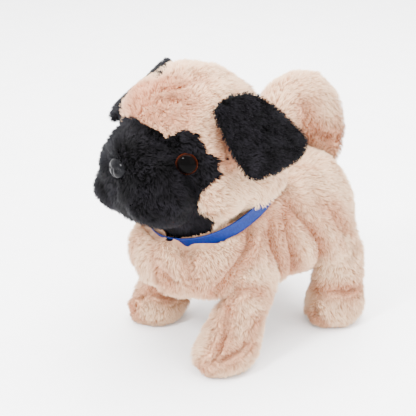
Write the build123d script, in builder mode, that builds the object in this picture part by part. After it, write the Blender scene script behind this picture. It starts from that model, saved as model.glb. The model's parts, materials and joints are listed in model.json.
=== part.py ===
# Walking plush puppy: a furry skin over a battery gearbox that swings four legs,
# wags the tail and nods the head.  Millimetres, +Z up, the puppy faces -Y, its own
# left side is +X.  The origin lies on the floor under the middle of the puppy.
from build123d import *
from math import atan2, cos, degrees, hypot, pi, radians, sin, tan
import os

os.makedirs("parts", exist_ok=True)

# ---------------------------------------------------------------- overall form
body_length = 156.0          # chest to rump over the fur
body_width = 112.0           # over the fur at the belly
body_height = 93.0           # back to belly over the fur
body_mid_y = 8.0             # middle of the body along Y
belly_z = 37.5               # underside of the body above the floor
body_roundness = 0.90        # corner radius as a share of the smaller half size
plush_wall = 8.0             # fabric, pile and stuffing together

head_width = 108.0
head_depth = 100.0
head_height = 102.0
head_centre = (0.0, -32.0, 152.0)
head_wall = 4.0              # fabric and pile over the stuffing
muzzle_size = (82.0, 50.0, 64.0)
muzzle_centre = (0.0, -70.0, 130.5)

neck_centre = (0.0, -20.0, 114.0)    # middle of the collar ring
neck_lean = 30.0             # degrees the collar dips towards the chest
neck_radius = 46.5           # outside of the fabric under the collar
neck_wall = 3.0              # fabric left round the neck opening
neck_lift = 8.0              # nod pivot above the collar ring, along the neck
nod_gap = 0.5                # between the head's ball and the neck's cup

# ---------------------------------------------------------------- clearances
running_gap = 0.05           # radial, a turning shaft in its hole
sliding_gap = 0.25           # between parts that slide past each other
moving_gap = 0.5             # between bodies that swing past each other
limb_gap = 2.0               # round a swinging limb in the body's flank
seat_gap = 0.15              # round a part dropped into its seat

# ---------------------------------------------------------------- legs
front_hip_y = -16.0
rear_hip_y = 63.0
hip_z = 64.0
foot_x = 43.0                # middle of a paw from the centre line
front_slant = 16.0           # degrees a front leg reaches forward at mid swing
rear_slant = 0.0
leg_swing = 10.0             # degrees each way from mid swing
rest_phase = 3.0             # degrees from mid swing in the stored pose
leg_axle_radius = 1.5
lever_plate = 2.5            # thickness of a moulded leg plate
slot_wall = 2.2              # plastic left round the slot of a lever
front_plate_x = 29.5         # inner face of a front leg plate
rear_plate_x = 32.5          # inner face of a rear leg plate
hub_radius = 5.5
leg_lever_width = 7.0
shank_width = 11.0
foot_plate_z = 5.0           # underside of the moulded foot above the floor
foot_plate_length = 24.0
axle_cap_radius = 3.2
axle_cap_length = 2.0

# ---------------------------------------------------------------- gearbox case
case_front_y = -38.5
case_rear_y = 70.0
case_half_width = 26.0
case_top_z = 101.0
case_split_z = 62.0
case_floor_z = 58.0
case_wall = 2.5
case_round = 8.0
battery_box_half_width = 18.5
battery_box_front_y = -5.0
battery_box_rear_y = 61.0
battery_box_bottom_z = 41.5
battery_radius = 7.25        # AA cell
battery_length = 49.5
battery_tip = 1.0
door_thickness = 1.6
screw_radius = 1.3
screw_head_radius = 2.6
screw_head_height = 1.8
boss_radius = 4.1
boss_x = 19.5
boss_front_y = -31.5
boss_rear_y = 67.0
boss_top_z = 73.0

# ---------------------------------------------------------------- gear train
gear_module = 0.8
small_teeth = 10
wheel_teeth = 28
output_teeth = 36
gear_width = 3.0
pinion_width = 5.0
tooth_share = 0.40           # tooth thickness as a share of the pitch
tooth_head = 0.70            # tooth tip above the pitch circle, in modules
tooth_foot = 1.15            # tooth root below the pitch circle, in modules
crank_y = (front_hip_y + rear_hip_y) / 2
crank_z = 82.0
crankshaft_radius = 1.5
gear_shaft_radius = 1.0
crank_disc_width = 2.0
crank_disc_gap = 0.5         # crank disc from the case wall
crank_pin_radius = 1.8
crank_pin_end_gap = 0.4      # the pin's end stops short of the leg levers
gearbox_plate_x = 5.0
gearbox_plate_width = 2.0
motor_length = 23.0
motor_height = 15.0
motor_width = 20.0
motor_front_x = 3.0          # output end of the motor can
motor_shaft_radius = 1.0
motor_collar_radius = 3.0
motor_cap_radius = 3.5
motor_collar_length = 1.5
pinion_x = 8.0               # inner face of the motor pinion
first_wheel_x = 9.0
second_wheel_x = 13.5
output_x = 18.0
shaft_end_wall = 1.0         # case wall left outside a fixed gear shaft

# ---------------------------------------------------------------- tail and head levers
tail_pivot_y = 63.5
tail_shaft_radius = 2.0
tail_bearing_height = 6.0
tail_swing_z = 95.5
tail_arm_end = (-10.0, 34.0)
tail_arm_height = 2.6
tail_arm_width = 5.0
tail_cam_radius = 9.0
tail_cam_tilt = 12.0
tail_cam_width = 3.0
tail_curl_centre = (0.0, 61.0, 146.0)
tail_curl_radius = 15.0      # middle of the rolled tail from its centre
tail_thickness = 36.0
tail_root_radius = 13.0
tail_root_y = 73.0
tail_back_gap = 2.2          # between the rolled tail and the back
neck_lever_width = 4.0
lever_bar = 5.0              # depth of the neck lever between its hub and its slot
neck_lever_hub = 4.5
neck_crank_width = 2.5
neck_crank_throw = 4.0
neck_crank_radius = 6.3      # round disc set off centre on the crankshaft
neck_crank_side_gap = 0.8    # between the lever and the crank's body
neck_pin_radius = 1.5
pivot_ear_radius = 5.0
pivot_ear_gap = 0.4          # each side of the neck lever
pivot_ear_width = 3.0
head_disc_radius = 20.0      # plate at the lever's top that carries the head
head_disc_rise = 18.0
head_disc_thickness = 2.5

# ---------------------------------------------------------------- face, ears, collar
eye_radius = 7.0
eye_centre = (36.0, -65.0, 149.5)
eye_turn = 48.0              # degrees an eye looks out from straight ahead
nose_width = 17.0
nose_height = 14.0
nose_depth = 9.0
nose_centre = (0.0, -91.5, 143.0)
post_radius = 1.6
washer_radius = 6.0
washer_thickness = 1.2
ear_thickness = 5.0
ear_origin = {"left": (49.0, -22.0, 168.0), "right": (-39.0, -36.0, 180.0)}
ear_facing = {"left": (0.90, 0.10, 0.42), "right": (-0.70, -0.38, 0.60)}
ear_outline = [(-31, 19), (-12, 23), (12, 16), (38, -14), (30, -24), (14, -28), (-22, -29), (-31, -17)]
ear_rounding = 7.0
collar_width = 9.5
collar_thickness = 0.8
collar_drop = 1.0            # top edge of the ribbon below the neck opening

# ---------------------------------------------------------------- sound and control
speaker_radius = 12.0
speaker_depth = 8.0
speaker_z = 80.5
board_thickness = 1.6
board_y = 48.5
board_half_width = 20.0
board_bottom_z = 64.5
board_top_z = 90.0
switch_length = 12.0
switch_width = 7.0
switch_height = 6.0
switch_travel = 3.0
switch_centre_y = -15.0
knob_length = 4.0
knob_width = 3.0
knob_height = 3.0


def save(part, label):
    """Name a finished piece and write it as its own file."""
    part.label = label
    export_step(part, f"parts/{label}.step")


def ellipsoid(centre, radii):
    """A solid ellipsoid, kept out of whatever part is being built."""
    ball = Sphere(1, mode=Mode.PRIVATE)
    return Pos(*centre) * scale(ball, by=radii, mode=Mode.PRIVATE)


def plane_across(x, y, z, angle=0.0):
    """A sketch plane facing +X whose own x runs along +Y, tipped up by angle."""
    return Plane(origin=(x, y, z), x_dir=(0, cos(radians(angle)), sin(radians(angle))), z_dir=(1, 0, 0))


# ---------------------------------------------------------------- derived places
neck_axis = (0.0, -sin(radians(neck_lean)), cos(radians(neck_lean)))
nod_centre = tuple(c + neck_lift * a for c, a in zip(neck_centre, neck_axis))
nod_y = nod_centre[1]
nod_z = nod_centre[2]
lever_drop = degrees(atan2(crank_z - nod_z, crank_y - nod_y))
cup_radius = hypot(neck_radius - neck_wall, neck_lift)
ball_radius = cup_radius - nod_gap
lever_reach = hypot(crank_y - front_hip_y, crank_z - hip_z)
lever_rise = degrees(atan2(crank_z - hip_z, crank_y - front_hip_y))
crank_throw = lever_reach * sin(radians(leg_swing))
crank_phase = -degrees(atan2(rest_phase, leg_swing))
disc_inner_x = case_half_width + crank_disc_gap
disc_outer_x = disc_inner_x + crank_disc_width
second_gear_y = crank_y - (small_teeth + output_teeth) * gear_module / 2
first_gear_y = second_gear_y - (small_teeth + wheel_teeth) * gear_module / 2
motor_y = first_gear_y - (small_teeth + wheel_teeth) * gear_module / 2
case_inner_x = case_half_width - case_wall


def body_sections(inset):
    """Middle height, half width and half height of the body at stations from chest to rump."""
    half_w = body_width / 2
    half_l = body_length / 2
    # place along the half length, share of the half width, back and belly as shares of the height
    stations = [
        (-1.00, 0.34, 0.46, 0.18),
        (-0.92, 0.62, 0.54, 0.13),
        (-0.68, 0.84, 0.66, 0.06),
        (-0.32, 0.94, 0.86, 0.02),
        (0.20, 1.00, 1.00, 0.00),
        (0.62, 0.98, 0.98, 0.00),
        (0.88, 0.84, 0.88, 0.05),
        (1.00, 0.46, 0.68, 0.18),
    ]
    rows = []
    for along, wide, back, belly in stations:
        y = body_mid_y + along * (half_l - inset)
        top = belly_z + back * body_height - inset
        bottom = belly_z + belly * body_height + inset
        rows.append((y, (top + bottom) / 2, wide * half_w - inset, (top - bottom) / 2))
    return rows


def body_form(inset):
    """The body's sack shape as a solid, drawn in by inset all round."""
    with BuildPart() as form:
        for y, z, half_width, half_height in body_sections(inset):
            with BuildSketch(Plane(origin=(0, y, z), x_dir=(1, 0, 0), z_dir=(0, 1, 0))):
                corner = body_roundness * min(half_width, half_height)
                RectangleRounded(2 * half_width, 2 * half_height, corner)
        loft()
    return form.part


# ---------------------------------------------------------------- legs
def hip_y(end):
    return front_hip_y if end == "front" else rear_hip_y


def rest_angle(side, end):
    """Degrees about +X from mid swing to the stored pose: diagonal legs move together."""
    forward = (side == "left") == (end == "front")
    return -rest_phase if forward else rest_phase


def foot_y(side, end):
    """Middle of a paw: the leg's slant at rest carried down from the hip to the floor."""
    slant = front_slant if end == "front" else rear_slant
    return hip_y(end) - hip_z * tan(radians(slant - rest_angle(side, end)))


def limb_rows(side, end):
    """Height, middle x and y, and half sizes of the stuffed limb from the sole to the hip."""
    top_y = hip_y(end)
    low_y = foot_y(side, end)
    # height, x from the paw's middle, share of the way to the paw, lead, half width, half length
    shape = [
        (0.0, 0.0, 1.00, -3.0, 16.0, 19.0),
        (8.0, 0.0, 1.00, -3.5, 19.5, 23.5),
        (20.0, 0.0, 0.86, -1.0, 18.5, 21.5),
        (35.0, 0.5, 0.60, 1.0, 15.5, 20.0),
        (49.0, 2.5, 0.28, 1.0, 11.5, 19.5),
        (61.0, 3.5, 0.08, 0.0, 10.0, 18.0),
        (73.0, 3.0, 0.00, 0.0, 6.5, 11.0),
    ]
    return [(z, foot_x + x, top_y + (low_y - top_y) * share + ahead, half_x, half_y)
            for z, x, share, ahead, half_x, half_y in shape]


def limb_form(side, end):
    """The stuffed limb and paw as one lofted solid."""
    sign = 1 if side == "left" else -1
    with BuildPart() as limb:
        for z, x, y, half_x, half_y in limb_rows(side, end):
            with BuildSketch(Plane(origin=(sign * x, y, z), x_dir=(1, 0, 0), z_dir=(0, 0, 1))):
                Ellipse(half_x, half_y)
        loft()
    return limb.part


def outline_hull(points):
    """The corners of the smallest convex outline round some points, anticlockwise."""
    ordered = sorted(set(points))
    halves = []
    for run in (ordered, ordered[::-1]):
        chain = []
        for p in run:
            while len(chain) > 1:
                (ax, ay), (bx, by) = chain[-2], chain[-1]
                if (bx - ax) * (p[1] - ay) - (by - ay) * (p[0] - ax) > 0:
                    break
                chain.pop()
            chain.append(p)
        halves += chain[:-1]
    return halves


def limb_pocket(side, end):
    """Space kept clear of the body skin for a limb over its whole swing, open to the flank."""
    sign = 1 if side == "left" else -1
    centre_y = hip_y(end)
    corners = []
    for stop in swing_stops(side, end):
        turn = radians(stop)
        for z, _, y, _, half_y in limb_rows(side, end):
            for edge in (y - half_y - limb_gap, y + half_y + limb_gap):
                ahead = edge - centre_y
                rise = z + limb_gap - hip_z
                corners.append((round(ahead * cos(turn) - rise * sin(turn), 3),
                                round(ahead * sin(turn) + rise * cos(turn), 3)))
    with BuildPart() as pocket:
        with BuildSketch(plane_across(sign * (case_half_width + moving_gap), centre_y, hip_z)):
            Polygon(*outline_hull(corners), align=None)
        extrude(amount=sign * body_width)
    return pocket.part


def leg_plate_x(end):
    return front_plate_x if end == "front" else rear_plate_x


def mirrored(part, side):
    return part if side == "left" else mirror(part, about=Plane.YZ, mode=Mode.PRIVATE)


def moulded_leg(side, end):
    """Hub, slotted crank lever, shank and foot plate of one moulded leg."""
    rest = rest_angle(side, end)
    plate_x = leg_plate_x(end)
    rise = lever_rise if end == "front" else 180.0 - lever_rise
    slant = front_slant if end == "front" else rear_slant
    shank_angle = -90.0 - slant + rest
    shank_length = (hip_z - foot_plate_z - lever_plate / 2) / cos(radians(slant - rest))
    sole_y = hip_y(end) - (hip_z - foot_plate_z) * tan(radians(slant - rest))
    slot_half = crank_throw + crank_pin_radius + sliding_gap
    with BuildPart() as leg:
        with BuildSketch(plane_across(plate_x, hip_y(end), hip_z, rise + rest)):
            Circle(hub_radius)
            with Locations((lever_reach / 2, 0)):
                Rectangle(lever_reach, leg_lever_width)
            with Locations((lever_reach, 0)):
                SlotOverall(2 * (slot_half + slot_wall), 2 * (crank_pin_radius + sliding_gap + slot_wall))
                SlotOverall(2 * slot_half, 2 * (crank_pin_radius + sliding_gap), mode=Mode.SUBTRACT)
        extrude(amount=lever_plate)
        with BuildSketch(plane_across(plate_x, hip_y(end), hip_z, shank_angle)):
            with Locations((shank_length / 2, 0)):
                Rectangle(shank_length, shank_width)
        extrude(amount=lever_plate)
        with BuildSketch(Plane.XY.offset(foot_plate_z)):
            with Locations(((plate_x + foot_x + 6.0) / 2, sole_y - 1.0)):
                RectangleRounded(foot_x + 6.0 - plate_x, foot_plate_length, 3.0)
        extrude(amount=lever_plate)
        with BuildSketch(plane_across(plate_x, hip_y(end), hip_z)):
            Circle(hub_radius)
        extrude(amount=rear_plate_x + lever_plate - plate_x)
        with BuildSketch(plane_across(plate_x, hip_y(end), hip_z)):
            Circle(leg_axle_radius + running_gap)
        extrude(amount=rear_plate_x + lever_plate - plate_x, mode=Mode.SUBTRACT)
    return mirrored(leg.part, side)


def swing_stops(side, end):
    """Lowest and highest joint angle of a leg, measured from the stored pose."""
    rest = rest_angle(side, end)
    return -leg_swing - rest, leg_swing - rest


legs = [(side, end) for side in ("left", "right") for end in ("front", "rear")]
cap_inner_x = rear_plate_x + lever_plate + sliding_gap
axle_end_x = cap_inner_x + axle_cap_length

for side, end in legs:
    leg_part = moulded_leg(side, end)
    save(leg_part, f"leg_{end}_{side}")
    sign = 1 if side == "left" else -1
    with BuildPart() as limb_skin:
        add(limb_form(side, end))
        add(leg_part, mode=Mode.SUBTRACT)
        with Locations((sign * (front_plate_x - 5.0), hip_y(end), hip_z)):
            Box(2 * (rear_plate_x + lever_plate - front_plate_x + 5.0), 60.0, 44.0, mode=Mode.SUBTRACT)
        with BuildSketch(plane_across(0, hip_y(end), hip_z)):
            Circle(axle_cap_radius + moving_gap)
        extrude(amount=sign * (axle_end_x + moving_gap), mode=Mode.SUBTRACT)
    save(limb_skin.part, f"leg_plush_{end}_{side}")

# ---------------------------------------------------------------- axles and their caps
for end in ("front", "rear"):
    with BuildPart() as axle:
        with BuildSketch(plane_across(-axle_end_x, hip_y(end), hip_z)):
            Circle(leg_axle_radius)
        extrude(amount=2 * axle_end_x)
    save(axle.part, f"{end}_leg_axle")

with BuildPart() as axle_caps:
    for side, end in legs:
        start = cap_inner_x if side == "left" else -axle_end_x
        with BuildSketch(plane_across(start, hip_y(end), hip_z)):
            Circle(axle_cap_radius)
            Circle(leg_axle_radius, mode=Mode.SUBTRACT)
        extrude(amount=axle_cap_length)
save(axle_caps.part, "axle_caps")


# ---------------------------------------------------------------- gears
def gear_sketch(teeth, phase):
    """Straight flanked teeth, rounded off by their narrow tips, on a root disc."""
    pitch_radius = gear_module * teeth / 2
    tip_radius = pitch_radius + tooth_head * gear_module
    root_radius = pitch_radius - tooth_foot * gear_module
    half_pitch = tooth_share * pi * gear_module / 2
    half_tip = half_pitch * 0.50
    half_root = half_pitch * 1.35
    with BuildSketch() as gear:
        Circle(root_radius)
        with PolarLocations(0, teeth, start_angle=phase):
            Polygon(
                (root_radius - 0.3, -half_root),
                (pitch_radius, -half_pitch),
                (tip_radius, -half_tip),
                (tip_radius, half_tip),
                (pitch_radius, half_pitch),
                (root_radius - 0.3, half_root),
                align=None,
            )
    return gear.sketch


def gear_plane(x, y):
    return plane_across(x, y, crank_z)


def mesh_phase(teeth, meets_behind):
    """Angle that puts a tooth gap on the line of centres, where the partner has a tooth."""
    half_tooth = 180.0 / teeth
    if meets_behind:
        return 180.0 + half_tooth
    return half_tooth


shaft_inner_x = gearbox_plate_x
shaft_outer_x = case_half_width - shaft_end_wall
motor_shaft_x = motor_front_x + motor_collar_length

with BuildPart() as motor_pinion:
    with BuildSketch(gear_plane(pinion_x, motor_y)):
        add(gear_sketch(small_teeth, 0.0))
    extrude(amount=pinion_width)
    with BuildSketch(gear_plane(motor_shaft_x, motor_y)):
        Circle(motor_shaft_radius)
    extrude(amount=pinion_x + pinion_width - motor_shaft_x)
save(motor_pinion.part, "motor_pinion")

with BuildPart() as first_gear:
    with BuildSketch(gear_plane(first_wheel_x, first_gear_y)):
        add(gear_sketch(wheel_teeth, mesh_phase(wheel_teeth, True)))
    extrude(amount=gear_width)
    with BuildSketch(gear_plane(first_wheel_x + gear_width, first_gear_y)):
        add(gear_sketch(small_teeth, 0.0))
    extrude(amount=pinion_width)
    with BuildSketch(gear_plane(first_wheel_x, first_gear_y)):
        Circle(gear_shaft_radius + running_gap)
    extrude(amount=gear_width + pinion_width, mode=Mode.SUBTRACT)
save(first_gear.part, "first_gear")

with BuildPart() as second_gear:
    with BuildSketch(gear_plane(second_wheel_x, second_gear_y)):
        add(gear_sketch(wheel_teeth, mesh_phase(wheel_teeth, True)))
    extrude(amount=gear_width)
    with BuildSketch(gear_plane(second_wheel_x + gear_width, second_gear_y)):
        add(gear_sketch(small_teeth, 0.0))
    extrude(amount=pinion_width)
    with BuildSketch(gear_plane(second_wheel_x, second_gear_y)):
        Circle(gear_shaft_radius + running_gap)
    extrude(amount=gear_width + pinion_width, mode=Mode.SUBTRACT)
save(second_gear.part, "second_gear")

with BuildPart() as output_gear:
    with BuildSketch(gear_plane(output_x, crank_y)):
        add(gear_sketch(output_teeth, mesh_phase(output_teeth, True)))
    extrude(amount=gear_width)
    with BuildSketch(gear_plane(output_x, crank_y)):
        Circle(crankshaft_radius)
    extrude(amount=gear_width, mode=Mode.SUBTRACT)
save(output_gear.part, "output_gear")

for name, gear_y in (("first_gear_shaft", first_gear_y), ("second_gear_shaft", second_gear_y)):
    with BuildPart() as gear_shaft:
        with BuildSketch(gear_plane(shaft_inner_x, gear_y)):
            Circle(gear_shaft_radius)
        extrude(amount=shaft_outer_x - shaft_inner_x)
    save(gear_shaft.part, name)

# ---------------------------------------------------------------- crankshaft and cranks
with BuildPart() as crankshaft:
    with BuildSketch(gear_plane(-disc_outer_x, crank_y)):
        Circle(crankshaft_radius)
    extrude(amount=2 * disc_outer_x)
save(crankshaft.part, "crankshaft")


def crank_disc(side):
    """A disc on the crankshaft's end; its pin drives both leg levers on that side."""
    outward = 1 if side == "left" else -1
    phase = crank_phase if side == "left" else crank_phase + 180.0
    pin_length = front_plate_x - crank_pin_end_gap - disc_outer_x
    with BuildPart() as disc:
        with BuildSketch(gear_plane(outward * disc_inner_x, crank_y)):
            Circle(crank_throw + crank_pin_radius + 1.2)
            Circle(crankshaft_radius, mode=Mode.SUBTRACT)
        extrude(amount=outward * crank_disc_width)
        with BuildSketch(gear_plane(outward * disc_outer_x, crank_y)):
            with PolarLocations(crank_throw, 1, start_angle=phase):
                Circle(crank_pin_radius)
        extrude(amount=outward * pin_length)
    return disc.part


for side in ("left", "right"):
    save(crank_disc(side), f"crank_{side}")

neck_crank_x = -neck_lever_width / 2 - neck_crank_side_gap - neck_crank_width
with BuildPart() as neck_crank:
    with BuildSketch(gear_plane(neck_crank_x, crank_y)):
        with PolarLocations(neck_crank_throw, 1, start_angle=lever_drop):
            Circle(neck_crank_radius)
        Circle(crankshaft_radius, mode=Mode.SUBTRACT)
    extrude(amount=neck_crank_width + crank_pin_end_gap)
save(neck_crank.part, "neck_crank")

tail_cam_x = tail_arm_end[0]
cam_tilt_dir = (cos(radians(tail_cam_tilt)), sin(radians(tail_cam_tilt)), 0)
with BuildPart() as tail_cam:
    with BuildSketch(Plane(origin=(tail_cam_x, crank_y, crank_z), z_dir=cam_tilt_dir)):
        Circle(tail_cam_radius)
    extrude(amount=tail_cam_width / 2, both=True)
    with BuildSketch(gear_plane(tail_cam_x, crank_y)):
        Circle(crankshaft_radius)
    extrude(amount=tail_cam_width * 2, both=True, mode=Mode.SUBTRACT)
save(tail_cam.part, "tail_cam")

# ---------------------------------------------------------------- motor
with BuildPart() as motor:
    with BuildSketch(gear_plane(motor_front_x - motor_length, motor_y)):
        Circle(motor_width / 2)
        Rectangle(motor_width, motor_height, mode=Mode.INTERSECT)
    extrude(amount=motor_length)
    with BuildSketch(gear_plane(motor_front_x, motor_y)):
        Circle(motor_collar_radius)
    extrude(amount=motor_collar_length)
    with BuildSketch(gear_plane(motor_front_x - motor_length - motor_collar_length, motor_y)):
        Circle(motor_cap_radius)
    extrude(amount=motor_collar_length)
save(motor.part, "motor")

# ---------------------------------------------------------------- gearbox plate
plate_front_y = motor_y - 9.0
plate_rear_y = crank_y + 8.0
with BuildPart() as gearbox_plate:
    with BuildSketch(gear_plane(gearbox_plate_x, (plate_front_y + plate_rear_y) / 2)):
        Rectangle(plate_rear_y - plate_front_y, motor_height)
    extrude(amount=gearbox_plate_width)
    with BuildSketch(gear_plane(gearbox_plate_x, motor_y)):
        Circle(5.2)
    extrude(amount=gearbox_plate_width, mode=Mode.SUBTRACT)
    for gear_y in (first_gear_y, second_gear_y):
        with BuildSketch(gear_plane(gearbox_plate_x, gear_y)):
            Circle(gear_shaft_radius)
        extrude(amount=gearbox_plate_width, mode=Mode.SUBTRACT)
    with BuildSketch(gear_plane(gearbox_plate_x, crank_y)):
        Circle(crankshaft_radius + running_gap)
    extrude(amount=gearbox_plate_width, mode=Mode.SUBTRACT)
save(gearbox_plate.part, "gearbox_plate")

# ---------------------------------------------------------------- case
case_mid_y = (case_front_y + case_rear_y) / 2
case_length = case_rear_y - case_front_y
boss_places = [(x, y) for x in (-boss_x, boss_x) for y in (boss_front_y, boss_rear_y)]
pivot_inner_x = neck_lever_width / 2 + pivot_ear_gap
pivot_outer_x = pivot_inner_x + pivot_ear_width

with BuildPart() as case_upper:
    with BuildSketch(Plane.XY.offset(case_split_z)):
        with Locations((0, case_mid_y)):
            RectangleRounded(2 * case_half_width, case_length, case_round)
    extrude(amount=case_top_z - case_split_z)
    with BuildSketch(Plane.XY.offset(case_split_z)):
        with Locations((0, case_mid_y)):
            RectangleRounded(2 * case_inner_x, case_length - 2 * case_wall, case_round - case_wall)
    extrude(amount=case_top_z - case_wall - case_split_z, mode=Mode.SUBTRACT)
    # screw bosses
    with BuildSketch(Plane.XY.offset(case_split_z)):
        with Locations(*boss_places):
            Circle(boss_radius)
    extrude(amount=boss_top_z - case_split_z)
    # neck pivot ears on the roof
    with BuildSketch(plane_across(-pivot_outer_x, nod_y, nod_z)):
        Circle(pivot_ear_radius)
        with Locations((0, -(nod_z - case_top_z) / 2)):
            Rectangle(2 * pivot_ear_radius, nod_z - case_top_z)
    extrude(amount=2 * pivot_outer_x)
    with BuildSketch(plane_across(-pivot_inner_x, nod_y, nod_z)):
        Rectangle(3 * pivot_ear_radius, 2 * (nod_z - case_top_z))
    extrude(amount=2 * pivot_inner_x, mode=Mode.SUBTRACT)
    # motor saddle
    with Locations((0, motor_y, (case_split_z + crank_z - motor_height / 2) / 2)):
        Box(2 * case_inner_x, 3.0, crank_z - motor_height / 2 - case_split_z)
    # bearing for the tail shaft on the roof
    with BuildSketch(Plane.XY.offset(case_top_z - case_wall)):
        with Locations((0, tail_pivot_y)):
            Circle(tail_shaft_radius + 2.5)
    extrude(amount=case_wall + tail_bearing_height)
    # shaft holes
    shaft_holes = [
        (front_hip_y, hip_z, leg_axle_radius),
        (rear_hip_y, hip_z, leg_axle_radius),
        (crank_y, crank_z, crankshaft_radius + running_gap),
    ]
    for hole_y, hole_z, hole_radius in shaft_holes:
        with BuildSketch(plane_across(-case_half_width, hole_y, hole_z)):
            Circle(hole_radius)
        extrude(amount=2 * case_half_width, mode=Mode.SUBTRACT)
    for gear_y in (first_gear_y, second_gear_y):
        with BuildSketch(gear_plane(case_inner_x, gear_y)):
            Circle(gear_shaft_radius)
        extrude(amount=shaft_outer_x - case_inner_x, mode=Mode.SUBTRACT)
    with BuildSketch(plane_across(-pivot_outer_x, nod_y, nod_z)):
        Circle(neck_pin_radius)
    extrude(amount=2 * pivot_outer_x, mode=Mode.SUBTRACT)
    with BuildSketch(Plane.XY.offset(case_top_z - case_wall)):
        with Locations((0, tail_pivot_y)):
            Circle(tail_shaft_radius + running_gap)
    extrude(amount=case_wall + tail_bearing_height, mode=Mode.SUBTRACT)
    with BuildSketch(Plane.XY.offset(case_split_z)):
        with Locations(*boss_places):
            Circle(screw_radius)
    extrude(amount=boss_top_z - case_split_z - 1.0, mode=Mode.SUBTRACT)
    # slot for the neck lever in the roof
    with Locations((0, (nod_y + crank_y) / 2 + 8.0, case_top_z - case_wall / 2)):
        Box(neck_lever_width + 1.6, crank_y - nod_y + 4.0, case_wall, mode=Mode.SUBTRACT)
    # sound holes
    with BuildSketch(Plane(origin=(0, case_rear_y - case_wall, speaker_z), x_dir=(1, 0, 0), z_dir=(0, 1, 0))):
        with GridLocations(4.0, 4.0, 4, 4):
            Circle(1.0)
    extrude(amount=case_wall, mode=Mode.SUBTRACT)
save(case_upper.part, "case_upper")

door_bottom_z = battery_box_bottom_z
cell_z = door_bottom_z + door_thickness + 0.3 + battery_radius
box_inner_x = battery_box_half_width - case_wall
box_inner_front_y = battery_box_front_y + case_wall
box_inner_rear_y = battery_box_rear_y - case_wall
door_half_width = box_inner_x - sliding_gap
door_front_y = box_inner_front_y + sliding_gap
door_rear_y = box_inner_rear_y - sliding_gap
door_screw_y = door_rear_y - 3.5
switch_top_z = case_floor_z - 1.5
switch_bottom_z = switch_top_z - switch_height

with BuildPart() as case_lower:
    with BuildSketch(Plane.XY.offset(case_floor_z)):
        with Locations((0, case_mid_y)):
            RectangleRounded(2 * case_half_width, case_length, case_round)
    extrude(amount=case_split_z - case_floor_z)
    with BuildSketch(Plane.XY.offset(case_floor_z + case_wall)):
        with Locations((0, case_mid_y)):
            RectangleRounded(2 * case_inner_x, case_length - 2 * case_wall, case_round - case_wall)
    extrude(amount=case_split_z - case_floor_z - case_wall, mode=Mode.SUBTRACT)
    with BuildSketch(Plane.XY.offset(case_floor_z + case_wall)):
        with Locations(*boss_places):
            Circle(boss_radius)
    extrude(amount=case_split_z - case_floor_z - case_wall)
    # battery box below the floor
    with BuildSketch(Plane.XY.offset(battery_box_bottom_z)):
        with Locations((0, (battery_box_front_y + battery_box_rear_y) / 2)):
            RectangleRounded(2 * battery_box_half_width, battery_box_rear_y - battery_box_front_y, 3.0)
    extrude(amount=case_floor_z - battery_box_bottom_z)
    with BuildSketch(Plane.XY.offset(battery_box_bottom_z)):
        with Locations((0, (box_inner_front_y + box_inner_rear_y) / 2)):
            Rectangle(2 * box_inner_x, box_inner_rear_y - box_inner_front_y)
    extrude(amount=case_floor_z - battery_box_bottom_z + 0.5, mode=Mode.SUBTRACT)
    # boss for the door screw, between the cells and the rear wall
    with BuildSketch(Plane.XY.offset(battery_box_bottom_z + door_thickness + 0.2)):
        with Locations((0, door_screw_y)):
            Rectangle(7.0, 6.0)
            Circle(screw_radius, mode=Mode.SUBTRACT)
    extrude(amount=case_floor_z + 0.5 - battery_box_bottom_z - door_thickness - 0.2)
    # walls round the power switch
    with BuildSketch(Plane.XY.offset(switch_bottom_z)):
        with Locations((0, switch_centre_y)):
            Rectangle(switch_width + 2 * (seat_gap + 1.6), switch_length + 2 * (seat_gap + 1.6))
            Rectangle(switch_width + 2 * seat_gap, switch_length + 2 * seat_gap, mode=Mode.SUBTRACT)
    extrude(amount=case_floor_z - switch_bottom_z)
    with BuildSketch(Plane.XY.offset(case_floor_z)):
        with Locations(*boss_places):
            Circle(screw_radius)
    extrude(amount=case_split_z - case_floor_z, mode=Mode.SUBTRACT)
save(case_lower.part, "case_lower")

with BuildPart() as case_screws:
    with BuildSketch(Plane.XY.offset(case_floor_z)):
        with Locations(*boss_places):
            Circle(screw_radius)
    extrude(amount=boss_top_z - 1.0 - case_floor_z)
    with BuildSketch(Plane.XY.offset(case_floor_z - screw_head_height)):
        with Locations(*boss_places):
            Circle(screw_head_radius)
            RectangleRounded(0.7, 3.0, 0.2, mode=Mode.SUBTRACT)
            RectangleRounded(3.0, 0.7, 0.2, mode=Mode.SUBTRACT)
    extrude(amount=screw_head_height)
save(case_screws.part, "case_screws")

# ---------------------------------------------------------------- battery door and cells
with BuildPart() as battery_door:
    with BuildSketch(Plane.XY.offset(door_bottom_z)):
        with Locations((0, (door_front_y + door_rear_y) / 2)):
            RectangleRounded(2 * door_half_width, door_rear_y - door_front_y, 1.5)
        with Locations((0, door_screw_y)):
            Circle(screw_radius + 0.2, mode=Mode.SUBTRACT)
    extrude(amount=door_thickness)
    # finger ribs near the front
    with BuildSketch(Plane.XY.offset(door_bottom_z)):
        with Locations((0, door_front_y + 8.0)):
            with GridLocations(1.0, 2.4, 1, 4):
                Rectangle(14.0, 1.0)
    extrude(amount=-0.6)
save(battery_door.part, "battery_door")

with BuildPart() as battery_door_screw:
    with BuildSketch(Plane.XY.offset(door_bottom_z - screw_head_height)):
        with Locations((0, door_screw_y)):
            Circle(screw_head_radius)
            Rectangle(0.7, 3.2, mode=Mode.SUBTRACT)
            Rectangle(3.2, 0.7, mode=Mode.SUBTRACT)
    extrude(amount=screw_head_height)
    with BuildSketch(Plane.XY.offset(door_bottom_z)):
        with Locations((0, door_screw_y)):
            Circle(screw_radius - running_gap)
    extrude(amount=9.0)
save(battery_door_screw.part, "battery_door_screw")

cell_front_y = box_inner_front_y + 1.0
cell_x = battery_radius + 0.6


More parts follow.
